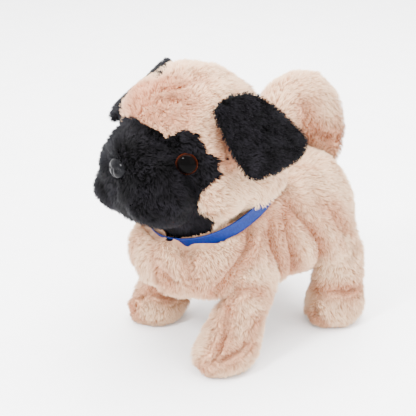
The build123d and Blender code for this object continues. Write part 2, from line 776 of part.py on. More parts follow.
def battery(x, tip_forward):
    """One AA cell lying along Y; its tip touches one contact and its base the other."""
    base_y = cell_front_y + battery_tip if tip_forward else cell_front_y
    tip_start = cell_front_y if tip_forward else cell_front_y + battery_length
    with BuildPart() as cell:
        with BuildSketch(Plane(origin=(x, base_y, cell_z), x_dir=(1, 0, 0), z_dir=(0, 1, 0))):
            Circle(battery_radius)
        extrude(amount=battery_length)
        with BuildSketch(Plane(origin=(x, tip_start, cell_z), x_dir=(1, 0, 0), z_dir=(0, 1, 0))):
            Circle(2.7)
        extrude(amount=battery_tip)
    return cell.part


save(battery(cell_x, True), "battery_left")
save(battery(-cell_x, False), "battery_right")

with BuildPart() as battery_contacts:
    for x in (-cell_x, cell_x):
        with BuildSketch(Plane(origin=(x, box_inner_front_y, cell_z), x_dir=(1, 0, 0), z_dir=(0, 1, 0))):
            Rectangle(9.0, 10.0)
        extrude(amount=0.4)
        with BuildSketch(Plane(origin=(x, box_inner_rear_y - 0.4, cell_z), x_dir=(1, 0, 0), z_dir=(0, 1, 0))):
            Rectangle(7.0, 10.0)
        extrude(amount=0.4)
save(battery_contacts.part, "battery_contacts")

cell_rear_y = cell_front_y + battery_length + battery_tip


def contact_spring(x, start_y, length):
    """A conical coil that presses a cell's base against the far contact."""
    turns = 3
    with BuildPart() as spring:
        with BuildLine():
            Helix(pitch=length / turns, height=length, radius=2.6, center=(x, start_y, cell_z), direction=(0, 1, 0))
        with BuildSketch(Plane(origin=(x + 2.6, start_y, cell_z), z_dir=(0, 1, 0))):
            Circle(0.3)
        sweep(is_frenet=True)
    return spring.part


spring_length = box_inner_rear_y - 0.4 - cell_rear_y - 0.8
with BuildPart() as battery_springs:
    for x in (-cell_x, cell_x):
        add(contact_spring(x, cell_rear_y + 0.4, spring_length))
save(battery_springs.part, "battery_springs")

# ---------------------------------------------------------------- power switch
with BuildPart() as power_switch:
    with BuildSketch(Plane.XY.offset(switch_bottom_z)):
        with Locations((0, switch_centre_y)):
            Rectangle(switch_width, switch_length)
            Rectangle(knob_width + 2 * sliding_gap, knob_length + switch_travel + 2 * sliding_gap, mode=Mode.SUBTRACT)
    extrude(amount=3.0)
    with BuildSketch(Plane.XY.offset(switch_bottom_z + 3.0)):
        with Locations((0, switch_centre_y)):
            Rectangle(switch_width, switch_length)
    extrude(amount=switch_height - 3.0)
save(power_switch.part, "power_switch")

with BuildPart() as switch_knob:
    with BuildSketch(Plane.XY.offset(switch_bottom_z - knob_height)):
        with Locations((0, switch_centre_y - switch_travel / 2)):
            Rectangle(knob_width, knob_length)
    extrude(amount=knob_height + 3.0 - sliding_gap)
    with BuildSketch(Plane.XY.offset(switch_bottom_z - knob_height)):
        with Locations((0, switch_centre_y - switch_travel / 2)):
            with GridLocations(1.0, 1.3, 1, 2):
                Rectangle(knob_width, 0.5)
    extrude(amount=0.5, mode=Mode.SUBTRACT)
save(switch_knob.part, "switch_knob")

# ---------------------------------------------------------------- circuit board and speaker
with BuildPart() as circuit_board:
    with BuildSketch(Plane(origin=(0, board_y, (board_bottom_z + board_top_z) / 2), x_dir=(1, 0, 0), z_dir=(0, 1, 0))):
        Rectangle(2 * board_half_width, board_top_z - board_bottom_z)
    extrude(amount=board_thickness)
    with BuildSketch(Plane(origin=(-6, board_y + board_thickness, 77), x_dir=(1, 0, 0), z_dir=(0, 1, 0))):
        Rectangle(12.0, 10.0)
    extrude(amount=2.0)
    with BuildSketch(Plane(origin=(10, board_y + board_thickness, 74), x_dir=(1, 0, 0), z_dir=(0, 1, 0))):
        with GridLocations(7.0, 8.0, 2, 2):
            Circle(2.0)
    extrude(amount=4.0)
save(circuit_board.part, "circuit_board")

speaker_face_y = case_rear_y - case_wall
with BuildPart() as speaker:
    with BuildSketch(Plane(origin=(0, speaker_face_y - speaker_depth, speaker_z), x_dir=(1, 0, 0), z_dir=(0, 1, 0))):
        Circle(speaker_radius * 0.6)
    extrude(amount=speaker_depth - 2.5)
    with BuildSketch(Plane(origin=(0, speaker_face_y - 2.5, speaker_z), x_dir=(1, 0, 0), z_dir=(0, 1, 0))):
        Circle(speaker_radius)
    extrude(amount=2.5)
save(speaker.part, "speaker")

with BuildPart() as microphone:
    with BuildSketch(Plane(origin=(12.0, case_front_y - 4.0, 92.0), x_dir=(1, 0, 0), z_dir=(0, 1, 0))):
        Circle(3.0)
    extrude(amount=4.0)
save(microphone.part, "microphone")

# ---------------------------------------------------------------- tail lever and tail
tail_stem_top_z = tail_curl_centre[2] - 12.0
tail_shaft_low_z = tail_swing_z
with BuildPart() as tail_lever:
    with BuildSketch(Plane.XY.offset(tail_shaft_low_z)):
        with Locations((0, tail_pivot_y)):
            Circle(tail_shaft_radius)
    extrude(amount=tail_stem_top_z - tail_shaft_low_z)
    arm_reach = hypot(tail_arm_end[0], tail_pivot_y - tail_arm_end[1])
    arm_turn = degrees(atan2(tail_arm_end[1] - tail_pivot_y, tail_arm_end[0]))
    arm_plane = Plane(origin=(0, tail_pivot_y, tail_swing_z), z_dir=(0, 0, 1),
                      x_dir=(cos(radians(arm_turn)), sin(radians(arm_turn)), 0))
    with BuildSketch(arm_plane):
        Circle(tail_shaft_radius + 1.6)
        with Locations((arm_reach / 2, 0)):
            Rectangle(arm_reach, tail_arm_width)
    extrude(amount=tail_arm_height)
save(tail_lever.part, "tail_lever")

tail_half = tail_thickness / 2
with BuildPart() as tail_plush:
    with BuildSketch(plane_across(0, tail_curl_centre[1], tail_curl_centre[2])) as tail_side:
        with Locations((0, 0)):
            Ellipse(tail_curl_radius + tail_half + 2.0, tail_curl_radius + tail_half - 1.0)
    extrude(amount=tail_half, both=True)
    fillet(tail_plush.edges(), tail_half - 0.6)
    with BuildSketch(Plane.XY.offset(belly_z + body_height / 2)):
        with Locations((0, tail_root_y)):
            Circle(tail_root_radius)
    extrude(amount=tail_curl_centre[2] - belly_z - body_height / 2)
    # the underside follows the back, widened so that the wag stays clear of it
    add(scale(body_form(-tail_back_gap), by=(3.0, 1.0, 1.0), mode=Mode.PRIVATE), mode=Mode.SUBTRACT)
    with BuildSketch(Plane.XY.offset(tail_shaft_low_z)):
        with Locations((0, tail_pivot_y)):
            Circle(tail_shaft_radius)
    extrude(amount=tail_stem_top_z - tail_shaft_low_z, mode=Mode.SUBTRACT)
save(tail_plush.part, "tail_plush")

# ---------------------------------------------------------------- neck lever and head frame
neck_reach = hypot(crank_y - nod_y, crank_z - nod_z)
neck_slot_radius = neck_crank_radius + sliding_gap
neck_slot_half = neck_crank_throw + neck_slot_radius
with BuildPart() as neck_lever:
    with BuildSketch(plane_across(-neck_lever_width / 2, nod_y, nod_z, lever_drop)):
        Circle(neck_lever_hub)
        with Locations(((neck_reach - neck_slot_half) / 2, 0)):
            Rectangle(neck_reach - neck_slot_half, lever_bar)
        with Locations((neck_reach, 0)):
            SlotOverall(2 * (neck_slot_half + slot_wall), 2 * (neck_slot_radius + slot_wall))
            SlotOverall(2 * neck_slot_half, 2 * neck_slot_radius, mode=Mode.SUBTRACT)
    extrude(amount=neck_lever_width)
    with BuildSketch(plane_across(-neck_lever_width / 2, nod_y, nod_z)):
        with Locations((0, head_disc_rise / 2)):
            Rectangle(2 * neck_lever_hub, head_disc_rise)
    extrude(amount=neck_lever_width)
    with BuildSketch(Plane.XY.offset(nod_z + head_disc_rise)):
        with Locations((0, nod_y)):
            Circle(head_disc_radius)
    extrude(amount=head_disc_thickness)
    with BuildSketch(plane_across(-neck_lever_width / 2, nod_y, nod_z)):
        Circle(neck_pin_radius + running_gap)
    extrude(amount=neck_lever_width, mode=Mode.SUBTRACT)
save(neck_lever.part, "neck_lever")

with BuildPart() as neck_pin:
    with BuildSketch(plane_across(-pivot_outer_x, nod_y, nod_z)):
        Circle(neck_pin_radius)
    extrude(amount=2 * pivot_outer_x)
save(neck_pin.part, "neck_pin")

# ---------------------------------------------------------------- head
head_radii = (head_width / 2, head_depth / 2, head_height / 2)
inner_radii = tuple(r - head_wall for r in head_radii)
inner_ball = ball_radius - head_wall

neck_skirt = 7.0             # how far the head's rim reaches below the collar plane
roof_room = 6.5              # space over the case roof for the nod
neck_plane = Plane(origin=neck_centre, x_dir=(1, 0, 0), z_dir=neck_axis)
with BuildPart() as neck_cavity:
    # hollow in the head's underside that leaves room for the case, the pivot ears and the lever
    with BuildSketch(neck_plane.offset(-neck_skirt)):
        Rectangle(160.0, 160.0)
    extrude(amount=-60.0)
    with Locations((0, nod_y, nod_z - 14.0)):
        Cylinder(17.0, 64.0)
    with Locations((0, nod_y, case_top_z + roof_room - 30.0)):
        Box(2 * case_half_width + 8.0, 2 * (nod_y - case_front_y) + 12.0, 60.0)
    with Locations((0, nod_y + 40.0, case_top_z + roof_room - 30.0)):
        Box(2 * case_half_width + 8.0, 80.0, 60.0)

with BuildPart() as head_outer:
    add(ellipsoid(head_centre, head_radii))
    add(ellipsoid(nod_centre, (ball_radius, ball_radius, ball_radius)))
    add(neck_cavity.part, mode=Mode.SUBTRACT)

with BuildPart() as head_inner:
    add(ellipsoid(head_centre, inner_radii))
    add(ellipsoid(nod_centre, (inner_ball, inner_ball, inner_ball)))
    add(neck_cavity.part, mode=Mode.SUBTRACT)

muzzle_radii = tuple(s / 2 for s in muzzle_size)
eye_dir = (sin(radians(eye_turn)), -cos(radians(eye_turn)), 0.12)


def button_post(centre, direction, length):
    """The stem behind a plastic eye or nose, pushed through the fabric."""
    with BuildPart() as post:
        with BuildSketch(Plane(origin=centre, z_dir=direction)):
            Circle(post_radius)
        extrude(amount=-length)
    return post.part


def eye_part(sign):
    """A domed plastic eye with its stem."""
    centre = (sign * eye_centre[0], eye_centre[1], eye_centre[2])
    direction = (sign * eye_dir[0], eye_dir[1], eye_dir[2])
    dome = Plane(origin=centre, z_dir=direction).location * scale(
        Sphere(1, mode=Mode.PRIVATE), by=(eye_radius, eye_radius, eye_radius * 0.62), mode=Mode.PRIVATE)
    with BuildPart() as eye:
        add(dome)
        add(button_post(centre, direction, 12.0))
    return eye.part


nose_facing = (0, -1, 0.22)
nose_solid = Plane(origin=nose_centre, x_dir=(1, 0, 0), z_dir=nose_facing).location * scale(
    Sphere(1, mode=Mode.PRIVATE), by=(nose_width / 2, nose_height / 2, nose_depth / 2), mode=Mode.PRIVATE)
with BuildPart() as nose:
    add(nose_solid)
    add(button_post(nose_centre, nose_facing, 14.0))
save(nose.part, "nose")

eyes = {"left": eye_part(1), "right": eye_part(-1)}
for side, eye in eyes.items():
    save(eye, f"eye_{side}")


def washer(centre, direction, depth):
    """A push-on lock washer on a stem, behind the fabric."""
    with BuildPart() as ring:
        with BuildSketch(Plane(origin=centre, z_dir=direction).offset(-depth)):
            Circle(washer_radius)
            Circle(post_radius, mode=Mode.SUBTRACT)
        extrude(amount=washer_thickness)
    return ring.part


with BuildPart() as face_washers:
    for sign in (1, -1):
        add(washer((sign * eye_centre[0], eye_centre[1], eye_centre[2]),
                   (sign * eye_dir[0], eye_dir[1], eye_dir[2]), 11.0))
    add(washer(nose_centre, nose_facing, 12.5))
save(face_washers.part, "face_washers")

with BuildPart() as muzzle_plush:
    add(ellipsoid(muzzle_centre, muzzle_radii))
    add(head_outer.part, mode=Mode.SUBTRACT)
    add(neck_cavity.part, mode=Mode.SUBTRACT)
    add(nose.part, mode=Mode.SUBTRACT)
    add(face_washers.part, mode=Mode.SUBTRACT)
    for eye in eyes.values():
        add(eye, mode=Mode.SUBTRACT)
save(muzzle_plush.part, "muzzle_plush")

with BuildPart() as head_plush:
    add(head_outer.part)
    add(head_inner.part, mode=Mode.SUBTRACT)
    add(face_washers.part, mode=Mode.SUBTRACT)
    add(nose.part, mode=Mode.SUBTRACT)
    for eye in eyes.values():
        add(eye, mode=Mode.SUBTRACT)
save(head_plush.part, "head_plush")

with BuildPart() as head_stuffing:
    add(head_inner.part)
    add(neck_lever.part, mode=Mode.SUBTRACT)
    add(face_washers.part, mode=Mode.SUBTRACT)
    add(nose.part, mode=Mode.SUBTRACT)
    for eye in eyes.values():
        add(eye, mode=Mode.SUBTRACT)
save(head_stuffing.part, "head_stuffing")


def ear_part(side):
    """A floppy ear: a flat flap folded over at the top, hung from the side of the head."""
    sign = 1 if side == "left" else -1
    facing = Vector(*ear_facing[side]).normalized()
    along = Vector(-facing.Y, facing.X, 0).normalized()
    with BuildPart() as ear:
        with BuildSketch(Plane(origin=ear_origin[side], x_dir=along, z_dir=facing)) as outline:
            Polygon(*[(sign * u, v) for u, v in ear_outline], align=None)
            fillet(outline.vertices(), ear_rounding)
        extrude(amount=ear_thickness / 2, both=True)
        add(head_outer.part, mode=Mode.SUBTRACT)
    largest = ear.part.solids().sort_by(SortBy.VOLUME)[-1]
    return Part() + largest


for side in ("left", "right"):
    save(ear_part(side), f"ear_{side}")

# ---------------------------------------------------------------- body skin and collar
with BuildPart() as body_plush:
    add(body_form(0.0))
    with BuildSketch(neck_plane.offset(-24.0)):
        Circle(neck_radius)
    extrude(amount=24.0)
    # the neck stands free of the shoulders for the collar's width
    with BuildSketch(neck_plane.offset(-collar_width - collar_drop - sliding_gap)):
        Circle(2 * neck_radius)
        Circle(neck_radius, mode=Mode.SUBTRACT)
    extrude(amount=collar_width + collar_drop + sliding_gap, mode=Mode.SUBTRACT)
    # everything above the collar belongs to the head
    with BuildSketch(neck_plane):
        Rectangle(200.0, 200.0)
    extrude(amount=80.0, mode=Mode.SUBTRACT)
    add(body_form(plush_wall), mode=Mode.SUBTRACT)
    add(ellipsoid(nod_centre, (cup_radius, cup_radius, cup_radius)), mode=Mode.SUBTRACT)
    # belly opening for the battery box and the switch
    with BuildSketch(Plane.XY.offset(20.0)):
        with Locations((0, (switch_centre_y - 12.0 + battery_box_rear_y + 2.0) / 2)):
            RectangleRounded(2 * battery_box_half_width + 5.0,
                             battery_box_rear_y + 2.0 - switch_centre_y + 12.0, 3.0)
    extrude(amount=45.0, mode=Mode.SUBTRACT)
    # hole for the tail shaft
    with BuildSketch(Plane.XY.offset(90.0)):
        with Locations((0, tail_pivot_y)):
            Circle(tail_shaft_radius + 3.0)
    extrude(amount=60.0, mode=Mode.SUBTRACT)
    # leg openings, as wide as the limbs swing
    for side, end in legs:
        add(limb_pocket(side, end), mode=Mode.SUBTRACT)
save(body_plush.part, "body_plush")

with BuildPart() as collar:
    with BuildSketch(neck_plane.offset(-collar_width - collar_drop)):
        Circle(neck_radius + collar_thickness)
        Circle(neck_radius, mode=Mode.SUBTRACT)
    extrude(amount=collar_width)
save(collar.part, "collar")
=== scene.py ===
# Looks of the walking plush puppy: fur, skins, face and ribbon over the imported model.
# Lengths are in millimetres until a mesh is made; the puppy faces -Y, +Z is up.
import json
import math
import bpy
import numpy as np
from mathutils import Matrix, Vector, kdtree


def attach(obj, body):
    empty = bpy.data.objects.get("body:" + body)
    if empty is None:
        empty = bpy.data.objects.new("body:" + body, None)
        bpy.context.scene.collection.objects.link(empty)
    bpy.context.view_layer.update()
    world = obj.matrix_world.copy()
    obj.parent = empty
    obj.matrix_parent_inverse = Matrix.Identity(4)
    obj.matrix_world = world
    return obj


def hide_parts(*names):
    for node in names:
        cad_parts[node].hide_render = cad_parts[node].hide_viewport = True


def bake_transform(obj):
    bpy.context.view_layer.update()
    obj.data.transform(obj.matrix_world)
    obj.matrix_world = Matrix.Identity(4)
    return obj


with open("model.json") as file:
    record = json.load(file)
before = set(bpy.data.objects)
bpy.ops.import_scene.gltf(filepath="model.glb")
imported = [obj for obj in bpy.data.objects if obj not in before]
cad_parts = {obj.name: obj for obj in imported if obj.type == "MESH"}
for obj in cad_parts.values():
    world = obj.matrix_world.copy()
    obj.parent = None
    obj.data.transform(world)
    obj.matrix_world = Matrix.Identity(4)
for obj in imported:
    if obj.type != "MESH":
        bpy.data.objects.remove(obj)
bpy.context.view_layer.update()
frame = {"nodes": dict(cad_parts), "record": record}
MM = 0.001
rng = np.random.default_rng(11)
fur_share = 1.0

# ---------------------------------------------------------------- sizes shared with the model
body_length, body_width, body_height, body_mid_y, belly_z = 156.0, 112.0, 93.0, 8.0, 37.5
neck_centre = np.array((0.0, -20.0, 114.0))
neck_lean = math.radians(30.0)
neck_axis = np.array((0.0, -math.sin(neck_lean), math.cos(neck_lean)))
neck_radius = 46.5
hips = {"front": (-16.0, 16.0), "rear": (63.0, 0.0)}        # hip along Y, slant in degrees
hip_z, foot_x, rest_phase = 64.0, 43.0, 3.0
ear_outline = [(-32, 19), (-13, 24), (12, 17), (40, -14), (33, -26), (14, -31), (-21, -32), (-28, -17)]
ear_origin = {"left": (52.5, -22.0, 169.0), "right": (-38.5, -39.0, 180.5)}
ear_facing = {"left": (0.90, 0.10, 0.42), "right": (-0.50, -0.55, 0.66)}


# ---------------------------------------------------------------- arrays of vectors
def unit(v):
    return v / np.maximum(np.linalg.norm(v, axis=-1, keepdims=True), 1e-9)


def waves(points, size, seed, count=14):
    """Smooth random field, about -1 to 1, with features of about that size."""
    r = np.random.default_rng(seed)
    k = unit(r.normal(size=(count, 3))) * (2 * math.pi / size) * r.uniform(0.6, 1.4, (count, 1))
    return np.sin(points @ k.T + r.uniform(0, 6.28, count)).sum(1) / math.sqrt(count / 2) * 0.7


def along(points, line, width):
    """1 on a broken line, fading to 0 a little beyond width from it."""
    line = np.asarray(line, float)
    best = np.full(len(points), 1e9)
    for a, b in zip(line[:-1], line[1:]):
        ab = b - a
        t = np.clip(((points - a) @ ab) / (ab @ ab), 0, 1)
        best = np.minimum(best, ((points - a - t[:, None] * ab) ** 2).sum(1))
    return np.exp(-best / width ** 2)


def spot(points, centre, radius):
    return np.exp(-((points - np.asarray(centre, float)) ** 2).sum(1) / radius ** 2)


def mirror_line(line):
    return [(-x, y, z) for x, y, z in line]


def full_turn(count):
    """Angles of that many points evenly round a circle."""
    return np.arange(count) * 2 * math.pi / count


# ---------------------------------------------------------------- simple closed meshes
def ball(centre, radii, rings=36, segments=56):
    verts = [(0, 0, 1)]
    for i in range(1, rings):
        a = math.pi * i / rings
        for j in range(segments):
            b = 2 * math.pi * j / segments
            verts.append((math.sin(a) * math.cos(b), math.sin(a) * math.sin(b), math.cos(a)))
    verts.append((0, 0, -1))
    faces = [(0, 1 + j, 1 + (j + 1) % segments) for j in range(segments)]
    for i in range(rings - 2):
        for j in range(segments):
            a, b = 1 + i * segments + j, 1 + i * segments + (j + 1) % segments
            faces.append((a, a + segments, b + segments, b))
    last, low = len(verts) - 1, 1 + (rings - 2) * segments
    faces += [(last, low + (j + 1) % segments, low + j) for j in range(segments)]
    return np.array(verts) * np.array(radii) + np.array(centre), faces


def skin_over(rings):
    """A closed mesh through rings of points, its two ends closed by fans."""
    count = len(rings[0])
    verts = np.vstack(rings + [np.mean(rings[0], 0, keepdims=True), np.mean(rings[-1], 0, keepdims=True)])
    faces = []
    for i in range(len(rings) - 1):
        for j in range(count):
            k = (j + 1) % count
            faces.append((i * count + j, i * count + k, (i + 1) * count + k, (i + 1) * count + j))
    first, last = len(verts) - 2, len(verts) - 1
    top = (len(rings) - 1) * count
    faces += [(first, (j + 1) % count, j) for j in range(count)]
    faces += [(last, top + j, top + (j + 1) % count) for j in range(count)]
    return verts, faces


def smooth_rows(rows, steps):
    """Rows of numbers resampled on a smooth curve through them."""
    rows = np.array(rows, float)
    t = np.arange(len(rows))
    fine = np.linspace(0, len(rows) - 1, steps)
    out = np.empty((steps, rows.shape[1]))
    for n, x in enumerate(fine):
        i = min(int(x), len(rows) - 2)
        f = x - i
        p0, p1, p2, p3 = rows[max(i - 1, 0)], rows[i], rows[i + 1], rows[min(i + 2, len(rows) - 1)]
        out[n] = 0.5 * ((2 * p1) + (p2 - p0) * f + (2 * p0 - 5 * p1 + 4 * p2 - p3) * f ** 2
                        + (3 * p1 - p0 - 3 * p2 + p3) * f ** 3)
    return out


def build_mesh(name, verts, faces):
    mesh = bpy.data.meshes.new(name)
    mesh.from_pydata((np.asarray(verts) * MM).tolist(), [], [tuple(int(i) for i in f) for f in faces])
    mesh.validate()
    mesh.update()
    obj = bpy.data.objects.new(name, mesh)
    bpy.context.scene.collection.objects.link(obj)
    return obj


def arrays_of(obj):
    """Vertices in mm and triangles of an object, modifiers included."""
    graph = bpy.context.evaluated_depsgraph_get()
    mesh = bpy.data.meshes.new_from_object(obj.evaluated_get(graph))
    verts = np.empty(len(mesh.vertices) * 3)
    mesh.vertices.foreach_get("co", verts)
    mesh.calc_loop_triangles()
    tris = np.empty(len(mesh.loop_triangles) * 3, dtype=np.int32)
    mesh.loop_triangles.foreach_get("vertices", tris)
    bpy.data.meshes.remove(mesh)
    return verts.reshape(-1, 3) / MM, tris.reshape(-1, 3)


def fuse(parts, voxel, rounds):
    """Several closed meshes grown into one smooth skin."""
    verts, faces, base = [], [], 0
    for v, f in parts:
        verts.append(v)
        faces += [tuple(i + base for i in face) for face in f]
        base += len(v)
    obj = build_mesh("fused", np.vstack(verts), faces)
    remesh = obj.modifiers.new("remesh", "REMESH")
    remesh.mode = "VOXEL"
    remesh.voxel_size = voxel * MM
    soften = obj.modifiers.new("soften", "SMOOTH")
    soften.factor = 0.5
    soften.iterations = rounds
    out = arrays_of(obj)
    bpy.data.objects.remove(obj)
    return out


def normals_of(verts, tris):
    a, b, c = verts[tris[:, 0]], verts[tris[:, 1]], verts[tris[:, 2]]
    face = np.cross(b - a, c - a)
    out = np.zeros_like(verts)
    for k in range(3):
        np.add.at(out, tris[:, k], face)
    return unit(out)


class Skin:
    """A soft surface: where it lies, which way it faces, and how strongly its creases tint the hair (painted
    shade in the cream pile).
    """

    def __init__(self, parts, voxel=1.8, rounds=8):
        self.v, self.t = fuse(parts, voxel, rounds)
        self.n = normals_of(self.v, self.t)
        self.crease = np.zeros(len(self.v))

    def push(self, amount):
        self.v = self.v + self.n * np.asarray(amount).reshape(-1, 1)
        self.n = normals_of(self.v, self.t)

    def fold(self, lines, width, depth, reach=1.6, tone_and_shade=1.0):
        """Sink the skin along lines, raise it a little beside them, and mark them for the crease tint of the
        hair above: painted shade in the cream pile.
        """
        for line in lines:
            near = along(self.v, line, width)
            beside = along(self.v, line, width * 2.3) - near
            # painted shade: this crease mark darkens the cream hair over these lines
            self.crease = np.maximum(self.crease, tone_and_shade * along(self.v, line, width * reach))
            self.push(-depth * near + 0.35 * depth * beside)

    def cut(self, keep):
        """Keep only the triangles whose middle passes the test."""
        middle = self.v[self.t].mean(1)
        self.t = self.t[keep(middle)]

    def part(self, keep):
        other = object.__new__(Skin)
        middle = self.v[self.t].mean(1)
        tris = self.t[keep(middle)]
        used, index = np.unique(tris, return_inverse=True)
        other.v, other.n, other.crease = self.v[used], self.n[used], self.crease[used]
        other.t = index.reshape(-1, 3)
        return other

    def obj(self, name, material):
        used, index = np.unique(self.t, return_inverse=True)
        made = build_mesh(name, self.v[used], index.reshape(-1, 3))
        made.data.shade_smooth()
        made.data.materials.append(material)
        return made


# ---------------------------------------------------------------- materials
def new_material(name):
    mat = bpy.data.materials.new(name)
    mat.use_nodes = True
    nodes, links = mat.node_tree.nodes, mat.node_tree.links
    return mat, nodes, links, nodes["Principled BSDF"]


def ramp(nodes, stops):
    node = nodes.new("ShaderNodeValToRGB")
    while len(node.color_ramp.elements) < len(stops):
        node.color_ramp.elements.new(0.5)
    for element, (at, colour) in zip(node.color_ramp.elements, stops):
        element.position = at
        element.color = (*colour, 1)
    return node


def fur_material(name, calm, tan_and_painted_light, roughness, sheen, tint, gloss=0.2, through=0.0):
    """Hair colour from root (v 0) to tip (v 1), from calm (u 0) to the second ramp (u 1): tan tone and
    painted crease shade in the cream pile, painted highlights in the black pile.
    """
    mat, nodes, links, shader = new_material(name)
    uv = nodes.new("ShaderNodeUVMap")
    uv.uv_map = "OFBake"
    split = nodes.new("ShaderNodeSeparateXYZ")
    links.new(uv.outputs["UV"], split.inputs[0])
    mix = nodes.new("ShaderNodeMix")
    mix.data_type = "RGBA"
    links.new(split.outputs["X"], mix.inputs["Factor"])
    colour_inputs = {s.name: s for s in mix.inputs if s.type == "RGBA"}
    mixed = [s for s in mix.outputs if s.type == "RGBA"][0]
    for stops, socket in ((calm, "A"), (tan_and_painted_light, "B")):
        node = ramp(nodes, stops)
        links.new(split.outputs["Y"], node.inputs["Fac"])
        links.new(node.outputs["Color"], colour_inputs[socket])
    links.new(mixed, shader.inputs["Base Color"])
    shader.inputs["Roughness"].default_value = roughness
    shader.inputs["Specular IOR Level"].default_value = gloss
    shader.inputs["Sheen Weight"].default_value = sheen
    shader.inputs["Sheen Roughness"].default_value = 0.5
    shader.inputs["Sheen Tint"].default_value = (*tint, 1)
    if through:
        # light that passes through a hair, so that its shaded side isn't dark
        glow = nodes.new("ShaderNodeBsdfTranslucent")
        both = nodes.new("ShaderNodeMixShader")
        both.inputs["Fac"].default_value = through
        links.new(mixed, glow.inputs["Color"])
        links.new(shader.outputs["BSDF"], both.inputs[1])
        links.new(glow.outputs["BSDF"], both.inputs[2])
        links.new(both.outputs["Shader"], nodes["Material Output"].inputs["Surface"])
    return mat


def noisy_material(name, low, high, size, roughness, bump, metallic=0.0, depth=0.0002, gloss=0.5):
    """A plain finish with a fine grain, size mm across, in its colour and its surface."""
    mat, nodes, links, shader = new_material(name)
    place = nodes.new("ShaderNodeTexCoord")
    grain = nodes.new("ShaderNodeTexNoise")
    grain.inputs["Scale"].default_value = 1 / (size * MM)
    grain.inputs["Detail"].default_value = 3
    links.new(place.outputs["Object"], grain.inputs["Vector"])
    colour = ramp(nodes, [(0.35, low), (0.65, high)])
    links.new(grain.outputs["Fac"], colour.inputs["Fac"])
    links.new(colour.outputs["Color"], shader.inputs["Base Color"])
    if bump:
        relief = nodes.new("ShaderNodeBump")
        relief.inputs["Strength"].default_value = bump
        relief.inputs["Distance"].default_value = depth
        links.new(grain.outputs["Fac"], relief.inputs["Height"])
        links.new(relief.outputs["Normal"], shader.inputs["Normal"])
    shader.inputs["Roughness"].default_value = roughness
    shader.inputs["Specular IOR Level"].default_value = gloss
    shader.inputs["Metallic"].default_value = metallic
    return mat


cream_fur = fur_material(
    "cream plush pile",
    [(0.0, (0.56, 0.26, 0.13)), (0.35, (0.82, 0.52, 0.31)),
     (0.75, (0.93, 0.70, 0.47)), (1.0, (0.97, 0.81, 0.57))],
    # second ramp, darker and rustier: real tan patches, and painted shade in the creases
    [(0.0, (0.26, 0.065, 0.026)), (0.4, (0.46, 0.17, 0.085)),
     (0.8, (0.68, 0.34, 0.195)), (1.0, (0.82, 0.48, 0.31))],
    0.9, 0.10, (1.0, 0.9, 0.8), through=0.38)
black_fur = fur_material(
    "black plush pile",
    [(0.0, (0.001, 0.001, 0.001)), (0.5, (0.0016, 0.0014, 0.0017)), (1.0, (0.0038, 0.0034, 0.0042))],
    # second ramp, lighter: painted highlights, mixed in patches by the tone
    [(0.0, (0.001, 0.001, 0.001)), (0.5, (0.0046, 0.0040, 0.0052)), (1.0, (0.0150, 0.0134, 0.0176))],
    0.6, 0.012, (0.8, 0.85, 1.0), 0.05)
cream_skin = noisy_material(
    "cream plush backing", (0.46, 0.24, 0.14), (0.58, 0.35, 0.22), 3.0, 0.95, 0.6, gloss=0.1)
black_skin = noisy_material(
    "black plush backing", (0.001, 0.001, 0.001), (0.003, 0.003, 0.003), 3.0, 0.95, 0.6, gloss=0.05)


# ---------------------------------------------------------------- fur
root_sink = 0.4            # how far a hair's foot lies under the skin
hair_corners = 5           # two at the foot, two half way, one at the tip
hair_loops = 7             # a quad below and a triangle above


